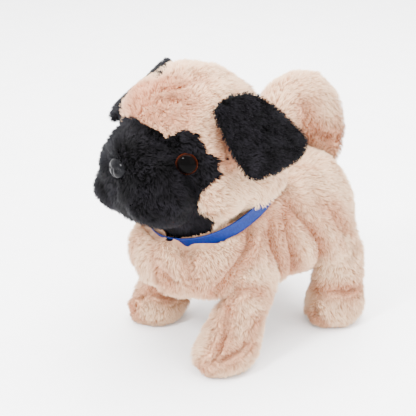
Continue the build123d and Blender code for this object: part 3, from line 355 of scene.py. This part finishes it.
def fur(name, skin, material, per_mm2, length, flow, keep=None, tone=0.0, lean=0.9, width=0.46,
        clump=3.2, clumping=0.34, wild=0.35, limit=62000):
    """Tapering hairs over a skin, laid along flow(points), drawn together in tufts."""
    corner = skin.v[skin.t]
    areas = np.linalg.norm(np.cross(corner[:, 1] - corner[:, 0], corner[:, 2] - corner[:, 0]), axis=1) / 2
    total = int(areas.sum() * per_mm2 * fur_share)
    pick = np.searchsorted(np.cumsum(areas) / areas.sum(), np.sort(rng.random(total)))
    pick = np.minimum(pick, len(areas) - 1)
    r1, r2 = np.sqrt(rng.random(total)), rng.random(total)
    bary = np.stack([1 - r1, r1 * (1 - r2), r1 * r2], 1)[:, :, None]
    root = (corner[pick] * bary).sum(1)
    normal = unit((skin.n[skin.t[pick]] * bary).sum(1))
    crease = (skin.crease[skin.t[pick]] * bary[:, :, 0]).sum(1)
    order = rng.permutation(total)
    root, normal, crease = root[order], normal[order], crease[order]
    if keep is not None:
        chosen = keep(root)
        root, normal, crease = root[chosen], normal[chosen], crease[chosen]
    count = len(root)
    lay = flow(root)
    lay = lay - (lay * normal).sum(1, keepdims=True) * normal
    side = unit(np.cross(normal, unit(lay)))
    turn = waves(root, 19.0, 5)[:, None] * 0.45 + waves(root, 6.0, 6)[:, None] * 0.25
    lay = unit(unit(lay) + side * turn + rng.normal(size=(count, 3)) * wild * 0.6)
    lay = unit(lay - (lay * normal).sum(1, keepdims=True) * normal)
    long = length(root) if callable(length) else np.full(count, float(length))
    long = (long * (1 - 0.45 * crease) * rng.uniform(0.65, 1.2, count))[:, None]
    bend = lean * (1 + 0.25 * waves(root, 11.0, 9))[:, None] + rng.normal(size=(count, 1)) * 0.15
    first = unit(normal + lay * bend * 0.45)
    second = unit(normal * 0.55 + lay * bend * 1.05)
    middle = root + first * long * 0.5
    tip = middle + second * long * 0.5
    centres = kdtree.KDTree(max(count, 1))
    seeds = np.arange(0, count, max(int(count / max(areas.sum() / clump ** 2, 1)), 1))
    for i in seeds:
        centres.insert(root[i], int(i))
    centres.balance()
    home = np.array([centres.find(p)[1] for p in root])
    target = tip[home] + (root - root[home]) * 0.25
    tip = tip + (target - tip) * clumping
    middle = middle + (target - middle) * clumping * 0.22
    across = unit(np.cross(tip - root, normal) + rng.normal(size=(count, 3)) * 0.35)
    half = (width / 2) * rng.uniform(0.7, 1.25, (count, 1))
    base = root - normal * root_sink
    verts = np.stack([base - across * half, base + across * half, middle - across * half * 0.85,
                      middle + across * half * 0.85, tip], 1)
    shade = unit(normal * 0.8 + lay * 0.25)
    # u: the tone, plus painted shade where the skin is creased
    tone_and_shade = tone(root) if callable(tone) else np.full(count, float(tone))
    tone_and_shade = np.clip(tone_and_shade + 0.85 * crease + rng.normal(size=count) * 0.06, 0.01, 0.985)
    made = []
    for start in range(0, count, limit):
        some = slice(start, min(start + limit, count))
        made.append(hair_mesh(f"{name}_{len(made) + 1}", verts[some], shade[some], tone_and_shade[some], material))
    return made


def hair_mesh(name, verts, shade, tone_and_shade, material):
    """One object of many hairs; its map holds the tone with painted crease shade (u) and root to tip (v)."""
    n = len(verts)
    mesh = bpy.data.meshes.new(name)
    mesh.vertices.add(n * hair_corners)
    mesh.vertices.foreach_set("co", (verts.reshape(-1) * MM).astype(np.float32))
    start = np.arange(n)[:, None] * hair_corners
    loops = np.concatenate([start + np.array([0, 1, 3, 2]), start + np.array([2, 3, 4])], 1).reshape(-1)
    mesh.loops.add(n * hair_loops)
    mesh.loops.foreach_set("vertex_index", loops.astype(np.int32))
    mesh.polygons.add(n * 2)
    first = (np.arange(n)[:, None] * hair_loops + np.array([0, 4])).reshape(-1)
    mesh.polygons.foreach_set("loop_start", first.astype(np.int32))
    layer = mesh.uv_layers.new(name="OFBake")
    u = tone_and_shade[:, None] + np.array([-1, 1, 1, -1, -1, 1, 0]) * 0.006
    v = np.broadcast_to(np.array([0.02, 0.02, 0.5, 0.5, 0.5, 0.5, 0.98]), (n, hair_loops))
    layer.data.foreach_set("uv", np.stack([u, v], 2).reshape(-1).astype(np.float32))
    mesh.update(calc_edges=True)
    mesh.shade_smooth()
    mesh.normals_split_custom_set_from_vertices(np.repeat(shade, hair_corners, axis=0).tolist())
    mesh.materials.append(material)
    obj = bpy.data.objects.new(name, mesh)
    bpy.context.scene.collection.objects.link(obj)
    return obj


def steady(direction):
    d = np.asarray(direction, float)
    return lambda p: np.broadcast_to(d, p.shape)


# ---------------------------------------------------------------- body
def rounded_ring(y, mid_z, half_w, half_h, count=72):
    """A ring like a rounded rectangle, nearly an ellipse."""
    a = full_turn(count)
    c, s = np.cos(a), np.sin(a)
    squareness = 0.86                            # 1 would be an ellipse
    x = np.sign(c) * np.abs(c) ** squareness * half_w
    z = np.sign(s) * np.abs(s) ** squareness * half_h
    return np.stack([x, np.full(count, y), mid_z + z], 1)


inset = 2.0
stations = [(-1.00, 0.34, 0.46, 0.18), (-0.92, 0.62, 0.54, 0.13), (-0.68, 0.84, 0.66, 0.06),
            (-0.32, 0.94, 0.86, 0.02), (0.20, 1.00, 1.00, 0.00), (0.62, 0.98, 0.98, 0.00),
            (0.88, 0.84, 0.88, 0.05), (1.00, 0.46, 0.68, 0.18)]
rows = []
for place, wide, back, belly in stations:
    top, bottom = belly_z + back * body_height - inset, belly_z + belly * body_height + inset
    rows.append((body_mid_y + place * (body_length / 2 - inset), (top + bottom) / 2,
                 wide * body_width / 2 - inset, (top - bottom) / 2))
body_parts = [skin_over([rounded_ring(*r) for r in smooth_rows(rows, 60)])]


def neck_ring(offset, radius, count=72):
    a = full_turn(count)
    other = np.cross(neck_axis, (1, 0, 0))
    return (neck_centre + neck_axis * offset + np.outer(np.cos(a), (1, 0, 0)) * radius
            + np.outer(np.sin(a), other) * radius)


body_parts.append(skin_over([neck_ring(o, neck_radius - 0.8) for o in (-26.0, -18.0, -9.0, 3.0)]))


def leg_rows(side, end):
    hip, slant = hips[end]
    ahead = (side == "left") == (end == "front")
    tilt = math.radians(slant + (rest_phase if ahead else -rest_phase))
    low = hip - hip_z * math.tan(tilt)
    shape = [(0.0, 0.0, 1.00, -3.0, 16.0, 19.0), (8.0, 0.0, 1.00, -3.5, 19.5, 23.5),
             (20.0, 0.0, 0.86, -1.0, 18.5, 21.5), (35.0, 0.5, 0.60, 1.0, 15.5, 20.0),
             (49.0, 2.5, 0.28, 1.0, 11.5, 19.5), (61.0, 3.5, 0.08, 0.0, 10.0, 18.0),
             (73.0, 3.0, 0.00, 0.0, 6.5, 11.0)]
    return [(z, foot_x + x, hip + (low - hip) * share + lead, half_x, half_y)
            for z, x, share, lead, half_x, half_y in shape]


shoulders = []
for side, sign in (("left", 1), ("right", -1)):
    shoulders.append(ball((sign * 42.0, -12.0, 72.0), (12.5, 17.0, 24.0)))
    shoulders.append(ball((sign * 42.0, 60.0, 68.0), (12.0, 17.0, 24.0)))
body = Skin(body_parts + shoulders, 1.9, 12)
side_folds = [
    [(44, -24, 117), (46, -22, 107), (49, -26, 88), (50, -34, 78), (47, -44, 67), (44, -48, 60)],
    [(50, -10, 112), (53, -10, 98), (53, -9, 86), (52, -4, 73), (47, 1, 61)],
    [(51, 2, 108), (54, 4, 94), (55, 7, 80), (52, 12, 66), (46, 18, 54)],
    [(46, 4, 116), (50, 10, 106), (54, 18, 96), (56, 31, 80), (53, 38, 64), (46, 42, 52)],
    [(52, 54, 84), (54, 58, 73), (50, 66, 60), (42, 68, 50)],
    [(54, 30, 108), (56, 40, 98), (56, 50, 88)],
]
chest_folds = [
    [(16, -52, 86), (26, -60, 80), (34, -63, 72), (36, -62, 62)],
    [(4, -62, 78), (12, -67, 70), (20, -68, 64)],
    [(-14, -56, 84), (-20, -62, 74), (-19, -64, 62)],
    [(-34, -48, 88), (-40, -46, 76), (-40, -46, 64)],
]
body.push(waves(body.v * np.array((1.0, 1.0, 0.45)), 24.0, 3) * 1.3)
body.fold(side_folds, 4.6, 6.4, 1.5)
far_side_folds = [mirror_line(l) for l in side_folds]
body.fold(far_side_folds, 4.6, 5.8, 1.5)
body.fold(chest_folds, 4.2, 3.8, 1.5, 0.85)
hip_seams = [[(60, -30, 66), (61, -20, 60), (60, -8, 58)], [(58, 46, 58), (60, 58, 54), (58, 72, 54)]]
body.fold(hip_seams, 3.0, 1.5, 1.2, 0.5)
neck_height = lambda p: (p - neck_centre) @ neck_axis
body.cut(lambda p: neck_height(p) < -1.6)
body.cut(lambda p: ~((np.abs(p[:, 0]) < 21.0) & (p[:, 1] > -26.0) & (p[:, 1] < 62.5) & (p[:, 2] < 46.0)))


def body_pile(p):
    return 5.6 - 2.0 * spot(p, (0, 80, 120), 25.0)


def free_of_collar(p):
    h = neck_height(p)
    radial = np.linalg.norm(p - neck_centre - h[:, None] * neck_axis, axis=1)
    return ~((h > -10.2) & (radial < neck_radius + 5.0)) & (h < -1.0)


def body_flow(p):
    """Down and a little to the rear, fanning out from the chest."""
    return np.array((0.0, 0.35, -1.0)) + 0.3 * unit(p - (0, -60, 90))


# painted shade: darker beside the side folds and over the chest folds below the head; a little lighter over
# the middle of the near flank
side_fold_shade = lambda p: np.max([along(p, line, 11.0) for line in side_folds + far_side_folds], axis=0)
body_tone = lambda p: (0.05 + 0.12 * waves(p, 34.0, 21) + 0.20 * spot(p, (10, -66, 66), 34.0)
                       - 0.08 * spot(p, (54, 30, 90), 34.0) + 0.32 * side_fold_shade(p))
made = {}
made["body"] = [body.obj("body_skin", cream_skin)] + fur(
    "body_fur", body, cream_fur, 1.9, body_pile, body_flow, free_of_collar, body_tone)

# ---------------------------------------------------------------- head
head_parts = [ball((0, -31, 150), (51.0, 46.5, 47.5)), ball((0, -24, 121), (42.6, 42.6, 42.6)),
              ball((0, -68.5, 132), (38.5, 25.0, 29.5)), ball((0, -73, 147), (25.0, 18.5, 18.0)),
              ball((17, -72, 124), (18.5, 20.5, 18.5)), ball((-17, -72, 124), (18.5, 20.5, 18.5)),
              ball((36, -38, 130), (16.0, 22.0, 22.0)), ball((-36, -38, 130), (16.0, 22.0, 22.0)),
              ball((37, -12, 127), (14.0, 22.0, 20.0)), ball((-37, -12, 127), (14.0, 22.0, 20.0)),
              ball((0, 8, 138), (34.0, 15.0, 20.0))]
head = Skin(head_parts, 1.8, 12)
forehead = [
    [(-14, -62, 187), (-0.8, -64, 189.8), (8.5, -56, 192.7), (19.5, -43, 195.4)],
    [(-6, -71, 180), (9.7, -64.0, 186.0), (21.2, -57, 187.5), (31, -54, 183.5)],
    [(5, -73, 176), (13, -73, 175), (20.6, -71.4, 173.7), (26.0, -66.8, 177.0)],
    [(27.7, -60.3, 182.5), (33.2, -60.8, 176.0), (31.5, -66.8, 170.5)],
]
forehead += [mirror_line(l) for l in forehead[2:]]
cheeks = [[(46, -47, 170), (49.5, -44.0, 158), (49.5, -44.5, 146)]]
head.push(waves(head.v, 26.0, 31) * 0.9)
head.fold(forehead, 3.0, 3.4, 1.5, 0.95)
head.fold(cheeks + [mirror_line(l) for l in cheeks], 3.4, 1.6, 1.7, 0.8)
head.fold([[(0, -94, 132), (0, -95, 122), (0, -90, 108)]], 2.6, 1.6, 1.0, 0.4)
eye_x, eye_y, eye_z = 36.0, -65.0, 149.5
eye_spots = [(eye_x, eye_y, eye_z), (-eye_x, eye_y, eye_z)]
brow_rise = 12.0
for x, y, z in eye_spots:
    head.push(-2.6 * spot(head.v, (x, y, z), 8.0) + 0.8 * spot(head.v, (x, y, z + brow_rise), 9.0))


# outline of the black plush seen from the front: distance from the middle, height
mask_outline = [(0, 170), (8, 169), (17, 167.5), (22.5, 163.5), (25, 166), (29.5, 169.5), (34, 169),
                (38.5, 166.5), (40.8, 162), (42.9, 157.5), (47, 153), (48, 146), (47, 140.5),
                (42.7, 132.6), (38.2, 124.2), (37.5, 119), (37.5, 111), (37, 102), (34, 92), (20, 84),
                (0, 82)]


def in_mask(p):
    """Where the plush is black: the muzzle and a patch round each eye."""
    x = np.abs(p[:, 0]) + waves(p, 7.0, 77) * 0.6
    z = p[:, 2] + waves(p, 7.0, 78) * 0.6
    inside = np.zeros(len(p), bool)
    for (x1, z1), (x2, z2) in zip(mask_outline, mask_outline[1:]):
        crosses = (z1 > z) != (z2 > z)
        inside ^= crosses & (x > x1 + (z - z1) * (x2 - x1) / (z2 - z1 + 1e-9))
    low, high = mask_outline[-1][1], mask_outline[0][1]
    return ~inside & (z > low) & (z < high) & (p[:, 1] < np.where(z < 122, -44, -38))


near_collar = lambda p: 1 / (1 + np.exp((neck_height(p) - 9.0) / 2.5))


def head_flow(p):
    """Away from the nose, then down over the collar's edge."""
    away = unit(p - (0, -95, 150)) + np.array((0, 0, -0.25))
    away[:, 0] += 0.5 * np.sign(p[:, 0])
    low = near_collar(p)[:, None]
    return away * (1 - low) - neck_axis * 1.5 * low


muzzle_flow = lambda p: unit(p - (0, -92, 146)) + np.array((0, 0.0, -0.55))
around_eye = lambda p: 1 - np.clip(spot(p, eye_spots[0], 9.5) + spot(p, eye_spots[1], 9.5), 0, 1)
around_nose = lambda p: 1 - 0.75 * spot(p, (0, -93, 143), 10.0)
bare_round_eye = 6.9
open_face = lambda p: ((np.linalg.norm(p - eye_spots[0], axis=1) > bare_round_eye)
                       & (np.linalg.norm(p - eye_spots[1], axis=1) > bare_round_eye)
                       & (np.linalg.norm((p - (0, -90, 143)) / (8.2, 8.5, 6.6), axis=1) > 1)
                       & (neck_height(p) > -5.0))
# the forehead and cheek spots are painted shade in the forehead wrinkles and cheek creases
head_tone = lambda p: (0.08 + 0.10 * waves(p, 24.0, 41) + 0.70 * spot(p, (12, -66, 181), 22.0)
                       + 0.70 * spot(p, (-12, -66, 181), 20.0) + 0.45 * spot(p, (50, -44, 158), 14.0)
                       + 0.45 * spot(p, (-50, -44, 158), 14.0))
head.cut(lambda p: neck_height(p) > -5.0)
cream_head, black_head = head.part(lambda p: ~in_mask(p)), head.part(in_mask)
made["head"] = [cream_head.obj("head_skin", cream_skin), black_head.obj("muzzle_skin", black_skin)]
head_pile = lambda p: 5.4 * (0.35 + 0.65 * around_eye(p))
muzzle_pile = lambda p: 5.0 * (0.3 + 0.7 * around_eye(p)) * around_nose(p)
# how much of the lighter black ramp each hair gets: painted highlights, in random patches
muzzle_tone = lambda p: 0.35 + 0.3 * waves(p, 12.0, 51)
made["head"] += fur("head_fur", cream_head, cream_fur, 2.0, head_pile, head_flow, open_face, head_tone)
made["head"] += fur("muzzle_fur", black_head, black_fur, 2.6, muzzle_pile, muzzle_flow, open_face,
                    muzzle_tone, clump=3.0, clumping=0.42)

# ---------------------------------------------------------------- tail
arc = [(70, 104, 12), (80, 116, 15.5), (84, 132, 17.5), (79, 148, 18.5), (67, 158, 18.5), (54, 157, 18.0),
       (45, 148, 17.0), (46, 138, 15.0), (54, 136, 12.0)]
tail_half_width = 16.5                           # the roll is no wider than this
tail_rings = []
tail_rows = smooth_rows(arc, 46)
heading = np.gradient(tail_rows[:, :2], axis=0)
for (y, z, r), (dy, dz) in zip(tail_rows, heading):
    a = full_turn(48)
    step = math.hypot(dy, dz)
    outward = np.array((0, -dz / step, dy / step))
    tail_rings.append(np.array((0, y, z)) + np.outer(np.cos(a), (1, 0, 0)) * min(r, tail_half_width)
                      + np.outer(np.sin(a), outward) * r)
tail = Skin([skin_over(tail_rings), ball((0, 64, 147), (14.5, 26.0, 23.0))], 1.8, 14)
tail_folds = [[(16, 52, 160), (17, 58, 146), (16, 64, 138), (15, 74, 132), (13, 90, 128)]]
tail.push(waves(tail.v, 20.0, 61) * 0.8)
tail.fold(tail_folds + [mirror_line(l) for l in tail_folds], 3.6, 3.4, 2.2)
spiral = lambda p: np.stack([0.02 * p[:, 0], (p[:, 2] - 145.0) * 0.03, -(p[:, 1] - 62.0) * 0.03 - 0.2], 1)
made["tail"] = [tail.obj("tail_skin", cream_skin)] + fur(
    "tail_fur", tail, cream_fur, 2.0, 5.4, spiral, None,
    # the spots beside the folds are painted shade in the crease under the roll; the tone is lighter on top
    # of the roll
    lambda p: 0.17 + 0.12 * waves(p, 22.0, 71) + 0.40 * spot(p, (18, 66, 136), 22.0)
    + 0.30 * spot(p, (-18, 60, 140), 20.0) - 0.15 * spot(p, (0, 70, 178), 22.0))

# ---------------------------------------------------------------- legs
leg_lines = {
    ("left", "front"): [
        [(46, -42, 58), (50, -37, 57), (54.5, -29, 60), (58, -22, 55), (60, -14, 48)],
        [(50, -35, 58), (47, -40, 51), (47.5, -45, 40), (51, -48, 31), (52, -54, 20), (51.5, -60, 12)],
        [(62, -24, 42), (62, -28, 32), (60.5, -34, 24), (60, -44, 19), (56, -54, 15)]],
    ("right", "front"): [
        [(-56, -49, 16), (-48, -52, 20), (-38, -49, 25), (-35, -42, 31), (-32, -30, 36)],
        [(-34, -44, 26), (-26, -36, 23), (-26, -20, 20)]],
    ("left", "rear"): [
        [(32, 44, 30), (42, 40, 31), (51, 47, 31), (59, 62, 29), (60, 78, 30), (48, 86, 30)]],
    ("right", "rear"): [
        [(-32, 38, 30), (-42, 34, 31), (-51, 41, 31), (-59, 56, 29), (-60, 72, 30), (-48, 80, 30)]],
}
leg_inset, lowest_ring, sole_lift = 1.6, 0.9, 0.4
leg_ring_points = 56
for (side, end), lines in leg_lines.items():
    sign = 1 if side == "left" else -1
    rings = []
    for z, x, y, half_x, half_y in smooth_rows(leg_rows(side, end), 40):
        a = full_turn(leg_ring_points)
        rings.append(np.stack([sign * x + np.cos(a) * (half_x - leg_inset),
                               y + np.sin(a) * (half_y - leg_inset),
                               np.full(leg_ring_points, max(z, lowest_ring) + sole_lift)], 1))
    leg = Skin([skin_over(rings)], 1.6, 8)
    paw = leg_rows(side, end)[1]
    hub = (sign * (paw[1] + (8 if (side, end) == ("left", "front") else 2)), paw[2] - paw[4] + 4.0, 15.0)
    toes = [[hub, (hub[0] + sign * dx, hub[1] - 5.0 + abs(dx) * 0.45, 3.0)] for dx in (-11, -4, 4, 11)]
    leg.push(waves(leg.v, 17.0, 81) * 0.6)
    leg.fold(lines, 2.8, 3.6, 2.0)
    leg.fold(toes, 1.9, 2.4, 1.8, 1.0)
    centre = np.array((sign * paw[1], paw[2], 12.0))
    flow = lambda p, c=centre, h=np.array(hub): (np.array((0, 0, -1.0)) + 0.5 * unit(p - c)
                                                + 1.1 * spot(p, h, 14.0)[:, None] * unit(p - h))
    pile = lambda p: np.clip(p[:, 2] * 0.30 + 2.0, 2.0, 5.4)
    above = lambda p: p[:, 2] > 1.0
    # painted shade: a darker band round each leg just under the belly
    tone = lambda p: 0.08 + 0.12 * waves(p, 18.0, 91) + 0.22 * np.exp(-((p[:, 2] - 34.0) / 12.0) ** 2)
    name = f"{end}_{side}_leg"
    made[(side, end)] = [leg.obj(f"{name}_skin", cream_skin)] + fur(
        f"{name}_fur", leg, cream_fur, 2.0, pile, flow, above, tone)

# ---------------------------------------------------------------- ears
ear_half_thickness = 1.3
for side, sign in (("left", 1), ("right", -1)):
    facing = unit(np.array(ear_facing[side], float))
    level = unit(np.array((-facing[1], facing[0], 0.0)))
    rise = np.cross(facing, level)
    origin = np.array(ear_origin[side])
    dense = smooth_rows(ear_outline + ear_outline[:1], 64)[:-1]
    rings = []
    for lift, shrink in ((-1.0, 0.93), (-0.3, 0.97), (0.3, 0.97), (1.0, 0.93)):
        u, v = dense[:, 0] * shrink * 0.96, dense[:, 1] * shrink * 0.96
        curl = 0.0045 * np.minimum(v - 4, 0) ** 2 - 0.0016 * u ** 2
        rings.append(origin + np.outer(sign * u, level) + np.outer(v, rise)
                     + np.outer(curl + lift * ear_half_thickness, facing))
    ear = Skin([skin_over(rings)], 1.1, 6)
    hang = -rise + 0.35 * level * sign
    made[f"ear {side}"] = [ear.obj(f"ear_{side}_skin", black_skin)] + fur(
        f"ear_{side}_fur", ear, black_fur, 3.0, 3.6, steady(hang), None,
        # the tone mixes in the lighter black ramp: painted highlights, in random patches
        lambda p: 0.55 + 0.3 * waves(p, 9.0, 95), lean=0.8, clump=2.2, clumping=0.4, wild=0.5)

# ---------------------------------------------------------------- eyes and nose
eye_material, nodes, links, shader = new_material("glossy brown eye")
uv = nodes.new("ShaderNodeUVMap")
uv.uv_map = "OFBake"
split = nodes.new("ShaderNodeSeparateXYZ")
links.new(uv.outputs["UV"], split.inputs[0])
iris = ramp(nodes, [(0.0, (0.0008, 0.0007, 0.0007)), (0.58, (0.001, 0.0008, 0.0008)),
                    (0.74, (0.012, 0.003, 0.0015)), (0.87, (0.050, 0.010, 0.004)),
                    (0.95, (0.004, 0.002, 0.0015))])
links.new(split.outputs["Y"], iris.inputs["Fac"])
links.new(iris.outputs["Color"], shader.inputs["Base Color"])
shader.inputs["Roughness"].default_value = 0.05
shader.inputs["Specular IOR Level"].default_value = 0.018
nose_material = noisy_material(
    "glossy nose plastic", (0.002, 0.002, 0.0025), (0.005, 0.005, 0.006), 2.0, 0.20, 0.2,
    depth=0.0001, gloss=0.05)


def dome(name, centre, facing, radius, rise, material):
    """A shallow dome whose map runs from its middle (v 0) to its rim (v 1)."""
    facing = unit(np.array(facing, float))
    level = unit(np.cross((0, 0, 1), facing))
    top = np.cross(facing, level)
    verts, faces, where = [], [], []
    rings, segments = 18, 48
    for i in range(rings + 1):
        share = i / rings
        r = radius * math.sin(share * math.pi * 0.62)
        h = rise * math.cos(share * math.pi * 0.62)
        for j in range(segments + 1):
            a = 2 * math.pi * j / segments
            verts.append(np.array(centre) + facing * h + (level * math.cos(a) + top * math.sin(a)) * r)
            where.append((j / segments, min(share * 1.24, 1.0)))
    step = segments + 1
    for i in range(rings):
        for j in range(segments):
            faces.append((i * step + j, (i + 1) * step + j, (i + 1) * step + j + 1, i * step + j + 1))
    obj = build_mesh(name, np.array(verts), faces)
    layer = obj.data.uv_layers.new(name="OFBake")
    for loop in obj.data.loops:
        layer.data[loop.index].uv = where[loop.vertex_index]
    obj.data.shade_smooth()
    obj.data.materials.append(material)
    return obj


turn = math.radians(48.0)                        # how far each eye looks to its side
eye_radius, eye_rise = 7.0, 4.6
for side, sign in (("left", 1), ("right", -1)):
    facing = (sign * math.sin(turn), -math.cos(turn), 0.12)
    made[f"eye {side}"] = [dome(f"eye_{side}_dome", (sign * eye_x, eye_y, eye_z), facing,
                                eye_radius, eye_rise, eye_material)]

verts, faces = ball((0, 0, 0), (8.6, 4.8, 7.0), 40, 56)
front = verts[:, 1] < 0
for sign in (1, -1):
    pit = np.exp(-(((verts[:, 0] - sign * 4.6) / 1.7) ** 2 + ((verts[:, 2] + 0.6) / 1.3) ** 2))
    verts[:, 1] += np.where(front, 1.5 * pit, 0)
verts[:, 1] += np.where(front, 0.7 * np.exp(-(verts[:, 0] / 0.9) ** 2) * (verts[:, 2] < 0), 0)
verts[:, 0] *= 1 - 0.14 * (verts[:, 2] < 0) * (-verts[:, 2] / 7.0)
tip_back = math.radians(12.0)
turned = np.stack([verts[:, 0], verts[:, 1] * math.cos(tip_back) + verts[:, 2] * math.sin(tip_back),
                   verts[:, 2] * math.cos(tip_back) - verts[:, 1] * math.sin(tip_back)], 1)
nose = build_mesh("nose_cap", turned + np.array((0, -91.5, 143.0)), faces)
nose.data.shade_smooth()
nose.data.materials.append(nose_material)
made["nose"] = [nose]

# ---------------------------------------------------------------- ribbon collar
satin, nodes, links, shader = new_material("blue satin ribbon")
place = nodes.new("ShaderNodeTexCoord")
weave = nodes.new("ShaderNodeTexNoise")
weave.inputs["Scale"].default_value = 900.0
links.new(place.outputs["Object"], weave.inputs["Vector"])
blue = ramp(nodes, [(0.3, (0.0004, 0.008, 0.075)), (0.7, (0.0006, 0.015, 0.125))])
links.new(weave.outputs["Fac"], blue.inputs["Fac"])
links.new(blue.outputs["Color"], shader.inputs["Base Color"])
shader.inputs["Roughness"].default_value = 0.33
shader.inputs["Specular IOR Level"].default_value = 0.13
count, rows_across = 160, 9
ribbon_off_neck, ribbon_low, ribbon_span, ribbon_cup = 1.9, -10.6, 9.6, 0.6
verts, faces = [], []
for i in range(rows_across):
    share = i / (rows_across - 1)
    for j in range(count):
        a = 2 * math.pi * j / count
        cup = ribbon_cup * (share - 0.5) ** 2
        out = neck_radius + ribbon_off_neck + 0.35 * math.sin(3 * a + 0.5) + cup
        lift = ribbon_low + ribbon_span * share + 0.35 * math.sin(5 * a + 2.0)
        verts.append(neck_centre + neck_axis * lift + np.array((1, 0, 0)) * math.cos(a) * out
                     + np.cross(neck_axis, (1, 0, 0)) * math.sin(a) * out)
for i in range(rows_across - 1):
    for j in range(count):
        k = (j + 1) % count
        faces.append((i * count + j, i * count + k, (i + 1) * count + k, (i + 1) * count + j))
ribbon = build_mesh("collar_ribbon", np.array(verts), faces)
ribbon.data.shade_smooth()
ribbon.data.materials.append(satin)
thick = ribbon.modifiers.new("thickness", "SOLIDIFY")
thick.thickness = 0.5 * MM
made["collar"] = [ribbon]

# ---------------------------------------------------------------- plain parts of the model
# slot: name, darker colour, lighter colour, grain in mm, roughness, bump, then metallic if it is metal
finish_rows = {
    "stuffing": ("white filling", (0.75, 0.75, 0.73), (0.90, 0.90, 0.88), 4.0, 0.95, 0.6),
    "washer_plastic": ("natural plastic", (0.70, 0.70, 0.68), (0.78, 0.78, 0.76), 3.0, 0.45, 0.15),
    "case_plastic": ("moulded case plastic", (0.66, 0.64, 0.60), (0.72, 0.70, 0.66), 1.2, 0.42, 0.25),
    "switch_plastic": ("black moulded plastic", (0.02, 0.02, 0.02), (0.035, 0.035, 0.035), 1.0, 0.4, 0.3),
    "gear_plastic": ("gear plastic", (0.76, 0.75, 0.70), (0.84, 0.83, 0.79), 2.0, 0.4, 0.15),
    "steel": ("plated steel", (0.45, 0.45, 0.46), (0.60, 0.60, 0.61), 1.5, 0.3, 0.1, 1.0),
    "contact_metal": ("nickel plate", (0.60, 0.60, 0.60), (0.75, 0.74, 0.72), 1.5, 0.2, 0.1, 1.0),
    "cell_jacket": ("cell jacket", (0.04, 0.04, 0.05), (0.07, 0.07, 0.08), 5.0, 0.3, 0.05),
    "board": ("board lacquer", (0.02, 0.13, 0.06), (0.04, 0.18, 0.08), 2.5, 0.35, 0.15),
}
finishes = {slot: noisy_material(*row) for slot, row in finish_rows.items()}
finishes.update(face_plastic=nose_material, plush_cream=cream_skin, plush_black=black_skin,
                ribbon_blue=satin)
slot_of = {s["node"]: s["material_slot"] for s in frame["record"]["subparts"]}
for name, obj in frame["nodes"].items():
    obj.data.materials.clear()
    obj.data.materials.append(finishes[slot_of[name]])

# ---------------------------------------------------------------- who rides on what
riders = {"body": "chassis", "collar": "chassis", "head": "head", "tail": "tail", "nose": "head",
          "eye left": "head", "eye right": "head", "ear left": "head", "ear right": "head"}
for key, body_name in riders.items():
    for obj in made[key]:
        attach(obj, body_name)
for side, end in leg_lines:
    x = (foot_x if side == "left" else -foot_x) * MM
    for obj in made[(side, end)]:
        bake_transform(obj)

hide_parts("body_plush")
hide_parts("head_plush", "head_stuffing")
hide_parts("muzzle_plush")
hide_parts("tail_plush")
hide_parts("nose")
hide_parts("collar")
for side in ("left", "right"):
    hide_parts(f"ear_{side}")
    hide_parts(f"eye_{side}")
    for end in ("front", "rear"):
        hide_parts(f"leg_plush_{end}_{side}")

for key, objects in made.items():
    for obj in objects:
        if key in ("nose", "eye left", "eye right"):
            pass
        elif key == "collar":
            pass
        elif "ear" in obj.name.split("_")[0] or obj.name.startswith("muzzle"):
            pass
        else:
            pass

# ---------------------------------------------------------------- floor, light and camera
floor_mat = noisy_material("pale floor", (0.88, 0.88, 0.89), (0.90, 0.90, 0.91), 40.0, 0.9, 0.0)
far = 4000
floor = build_mesh("floor", [(-far, -far, 0), (far, -far, 0), (far, far, 0), (-far, far, 0)], [(0, 1, 2, 3)])
floor.data.materials.append(floor_mat)
world = bpy.data.worlds.new("soft white room")
world.use_nodes = True
world.node_tree.nodes["Background"].inputs["Color"].default_value = (1.0, 1.0, 1.0, 1)
world.node_tree.nodes["Background"].inputs["Strength"].default_value = 3.7
bpy.context.scene.world = world


def area_light(name, at, size, power, target=(0, 0, 0.09)):
    data = bpy.data.lights.new(name, "AREA")
    data.shape = "SQUARE"
    data.size = size
    data.energy = power
    lamp = bpy.data.objects.new(name, data)
    lamp.location = at
    lamp.rotation_euler = (Vector(target) - Vector(at)).to_track_quat("-Z", "Y").to_euler()
    bpy.context.scene.collection.objects.link(lamp)
    return lamp


area_light("key light", (0.1, -0.95, 1.0), 0.22, 30.0)
area_light("fill light", (1.3, 0.1, 0.7), 1.2, 12.0)
area_light("top light", (-0.1, 0.3, 1.4), 1.6, 95.0)

azimuth, height = math.radians(50.0), math.radians(22.0)
back = Vector((math.sin(azimuth) * math.cos(height), -math.cos(azimuth) * math.cos(height),
               math.sin(height)))
camera_distance = 0.7
aim = Vector((0, 0.004, 0.095))
lens = bpy.data.cameras.new("camera")
lens.lens = 86.0
lens.sensor_width = 36.0
lens.shift_x = -0.065
lens.shift_y = -0.0144
camera = bpy.data.objects.new("camera", lens)
camera.location = aim + back * camera_distance
camera.rotation_euler = (-back).to_track_quat("-Z", "Y").to_euler()
bpy.context.scene.collection.objects.link(camera)
bpy.context.scene.camera = camera
